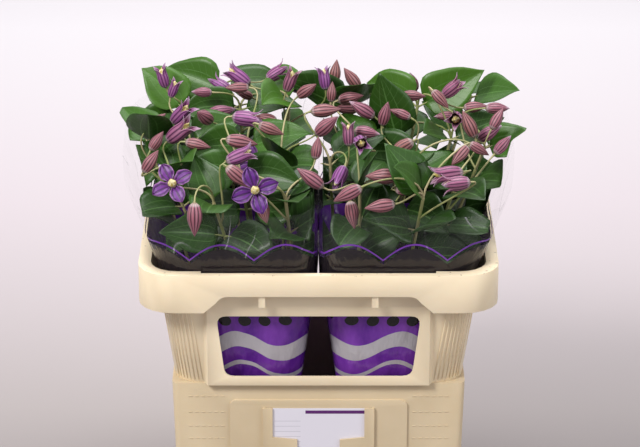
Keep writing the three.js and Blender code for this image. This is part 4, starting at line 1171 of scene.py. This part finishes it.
def flutes(material):
    """Fine upright ribs moulded on the collar's walls, round its corners and along its sides."""
    bm = bmesh.new()
    bottom, top = CONTAINER_HEIGHT + 4, RIM_Z - SKIRT + 14
    low, high = wall_at(bottom), wall_at(top)
    for side_y in (-1, 1):
        for side_x in (-1, 1):
            for n in range(RIBS_PER_CORNER):
                turn = math.radians(90 - 8 * n)
                ends = [
                    (
                        side_x * (x + COLLAR_CORNER * (math.cos(turn) - 1)),
                        side_y * (y + COLLAR_CORNER * (math.sin(turn) - 1)),
                        z,
                    )
                    for (x, y), z in ((low, bottom), (high, top))
                ]
                add_rib(bm, *ends)
    for side_x in (-1, 1):
        for n in range(-RIBS_PER_HALF_SIDE, RIBS_PER_HALF_SIDE + 1):
            foot = (side_x * low[0], n * RIB_PITCH_LOW, bottom)
            add_rib(bm, foot, (side_x * high[0], n * RIB_PITCH_HIGH, top))
    bmesh.ops.recalc_face_normals(bm, faces=bm.faces)
    piece("collar_flutes", bm, material)


def add_rib(bm, foot, head):
    """One half-sunk rib of moulded plastic between two points, in mm."""
    foot, head = Vector(foot) * MM, Vector(head) * MM
    along = head - foot
    made = bmesh.ops.create_cone(
        bm,
        segments=8,
        radius1=RIB_RADIUS * MM,
        radius2=RIB_RADIUS * MM,
        depth=along.length,
        cap_ends=True,
    )["verts"]
    aim = along.to_track_quat("Z", "Y").to_matrix().to_4x4()
    bmesh.ops.transform(bm, matrix=Matrix.Translation((foot + head) / 2) @ aim, verts=made)


def grip_dashes(material):
    """Rows of short raised dashes beside the container's front panel."""
    bm = bmesh.new()
    for z in DASH_ROWS:
        y = -lerp(FOOT_Y, MOUTH_Y, z / CONTAINER_HEIGHT)
        for side in (-1, 1):
            for n in range(DASHES_PER_ROW):
                x = side * (DASH_X + n * DASH_PITCH)
                made = bmesh.ops.create_cube(bm, size=1)["verts"]
                bmesh.ops.scale(bm, vec=Vector(DASH_SIZE) * MM, verts=made)
                bmesh.ops.translate(bm, vec=Vector((x, y, z)) * MM, verts=made)
    edges = [edge for edge in bm.edges if edge.calc_length() > 1.05 * MM]
    bmesh.ops.bevel(
        bm, geom=edges, offset=0.25 * MM, affect="EDGES", segments=2, profile=0.5, material=-1
    )
    piece("container_dashes", bm, material)


# Setting, light and camera


def pale_floor():
    """A wide pale floor, lighter behind the container than in front of it: painted light and shade, the
    light falling off towards the front.
    """
    bm = bmesh.new()
    bmesh.ops.create_grid(bm, x_segments=1, y_segments=1, size=7)
    shade = Shade("pale_paper")
    # Painted light and shade: the tone grows brighter towards the back.
    tone = shade.ramp(
        shade.times(shade.split()[1], 0.4),
        (0.0, (0.22, 0.2, 0.2)),
        (0.13, (0.36, 0.325, 0.325)),
        (0.46, (0.6, 0.54, 0.57)),
        (0.84, (0.8, 0.77, 0.8)),
    )
    shade.set(Base_Color=tone, Roughness=0.85)
    made = meshed("pale_floor", bm, shade.material)


def area_light(name, place, target, size, watts, colour=(1, 1, 1)):
    """A round soft light that looks at its target."""
    light = bpy.data.lights.new(name, "AREA")
    light.shape = "DISK"
    light.size = size
    light.energy = watts
    light.color = colour
    made = placed(name, light)
    made.location = place
    made.rotation_euler = (Vector(target) - Vector(place)).to_track_quat("-Z", "Y").to_euler()


def lights():
    """Daylight from the left, weaker light from the right, and a pale room all round."""
    middle = (0, 0, 0.4)
    area_light("window_left", (-1.6, -1.8, 2.5), middle, 0.9, 84, (1, 0.98, 0.96))
    area_light("window_right", (2.2, -1.5, 1.6), middle, 1.6, 24, (0.97, 0.97, 1))
    area_light("ceiling", (0.2, 0.3, 2.9), middle, 1.6, 52)
    area_light("over_backdrop", (0, 2.4, 2.6), (0, 2.2, 0), 2.4, 24)
    world = bpy.data.worlds.new("room")
    world.use_nodes = True
    ground = world.node_tree.nodes["Background"]
    ground.inputs["Color"].default_value = (0.95, 0.93, 0.96, 1)
    ground.inputs["Strength"].default_value = 0.5
    bpy.context.scene.world = world
    bpy.context.scene.view_settings.view_transform = "Standard"


def camera():
    """Straight from the front, 22 degrees above level, from far away."""
    aim = Vector((1.8, -RIM_Y, RIM_Z)) * MM
    back = Vector((0, -math.cos(SEEN_FROM), math.sin(SEEN_FROM)))
    up = Vector((0, math.sin(SEEN_FROM), math.cos(SEEN_FROM)))
    data = bpy.data.cameras.new("camera")
    data.sensor_width = SENSOR
    data.lens = PIXELS_PER_MM * CAMERA_AWAY * 1000 / PICTURE_WIDTH * SENSOR
    made = placed("camera", data)
    made.location = aim + back * CAMERA_AWAY
    look = aim + up * (RIM_ROW - MIDDLE_ROW) / PIXELS_PER_MM * MM - made.location
    made.rotation_euler = look.to_track_quat("-Z", "Y").to_euler()
    bpy.context.scene.camera = made


def main():
    """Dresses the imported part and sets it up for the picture."""
    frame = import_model()
    nodes = frame["nodes"]
    camera()
    lights()
    pale_floor()

    cream = moulded_plastic("cream_plastic", (0.84, 0.7, 0.48), (0.92, 0.79, 0.58))
    # A darker copy of the cream plastic for the container and its dashes: painted shade, as the lower
    # container stands in less light than its collar.
    shaded_cream = moulded_plastic("cream_plastic_painted_shade", (0.6, 0.48, 0.31), (0.7, 0.58, 0.4))
    moulded_copy("container_shell", nodes["container"], shaded_cream, 1.2)
    moulded_copy("collar_shell", nodes["collar"], cream, 1.1)
    flutes(cream)
    grip_dashes(shaded_cream)

    rubber = elastic("elastic")
    for name, material in (
        ("card", printed_card("card_print")),
        ("water", still_water("still_water")),
        ("band_left", rubber),
        ("band_right", rubber),
    ):
        nodes[name].data.materials.clear()
        nodes[name].data.materials.append(material)

    film = printed_film("printed_film")
    for side in (-1, 1):
        sleeve(side, film)

    greens = leaf_skin("leaf")
    sepals = sepal_skin("sepal")
    stalks = stalk_skin("stalk")
    stamens = stamen_skin("stamens")
    for stem in plan_plants():
        word = "left" if stem["side"] < 0 else "right"
        stem["name"] = f"{word}_{stem['id'] % STEMS_PER_BUNCH + 1:02d}"
        stem["node"] = f"clematis_{stem['name']}"
        stem_lines(stem, stalks)
        leaf_blades(stem, greens)
        bloom_sepals(stem, sepals)
        stamen_brushes(stem, stamens)


main()
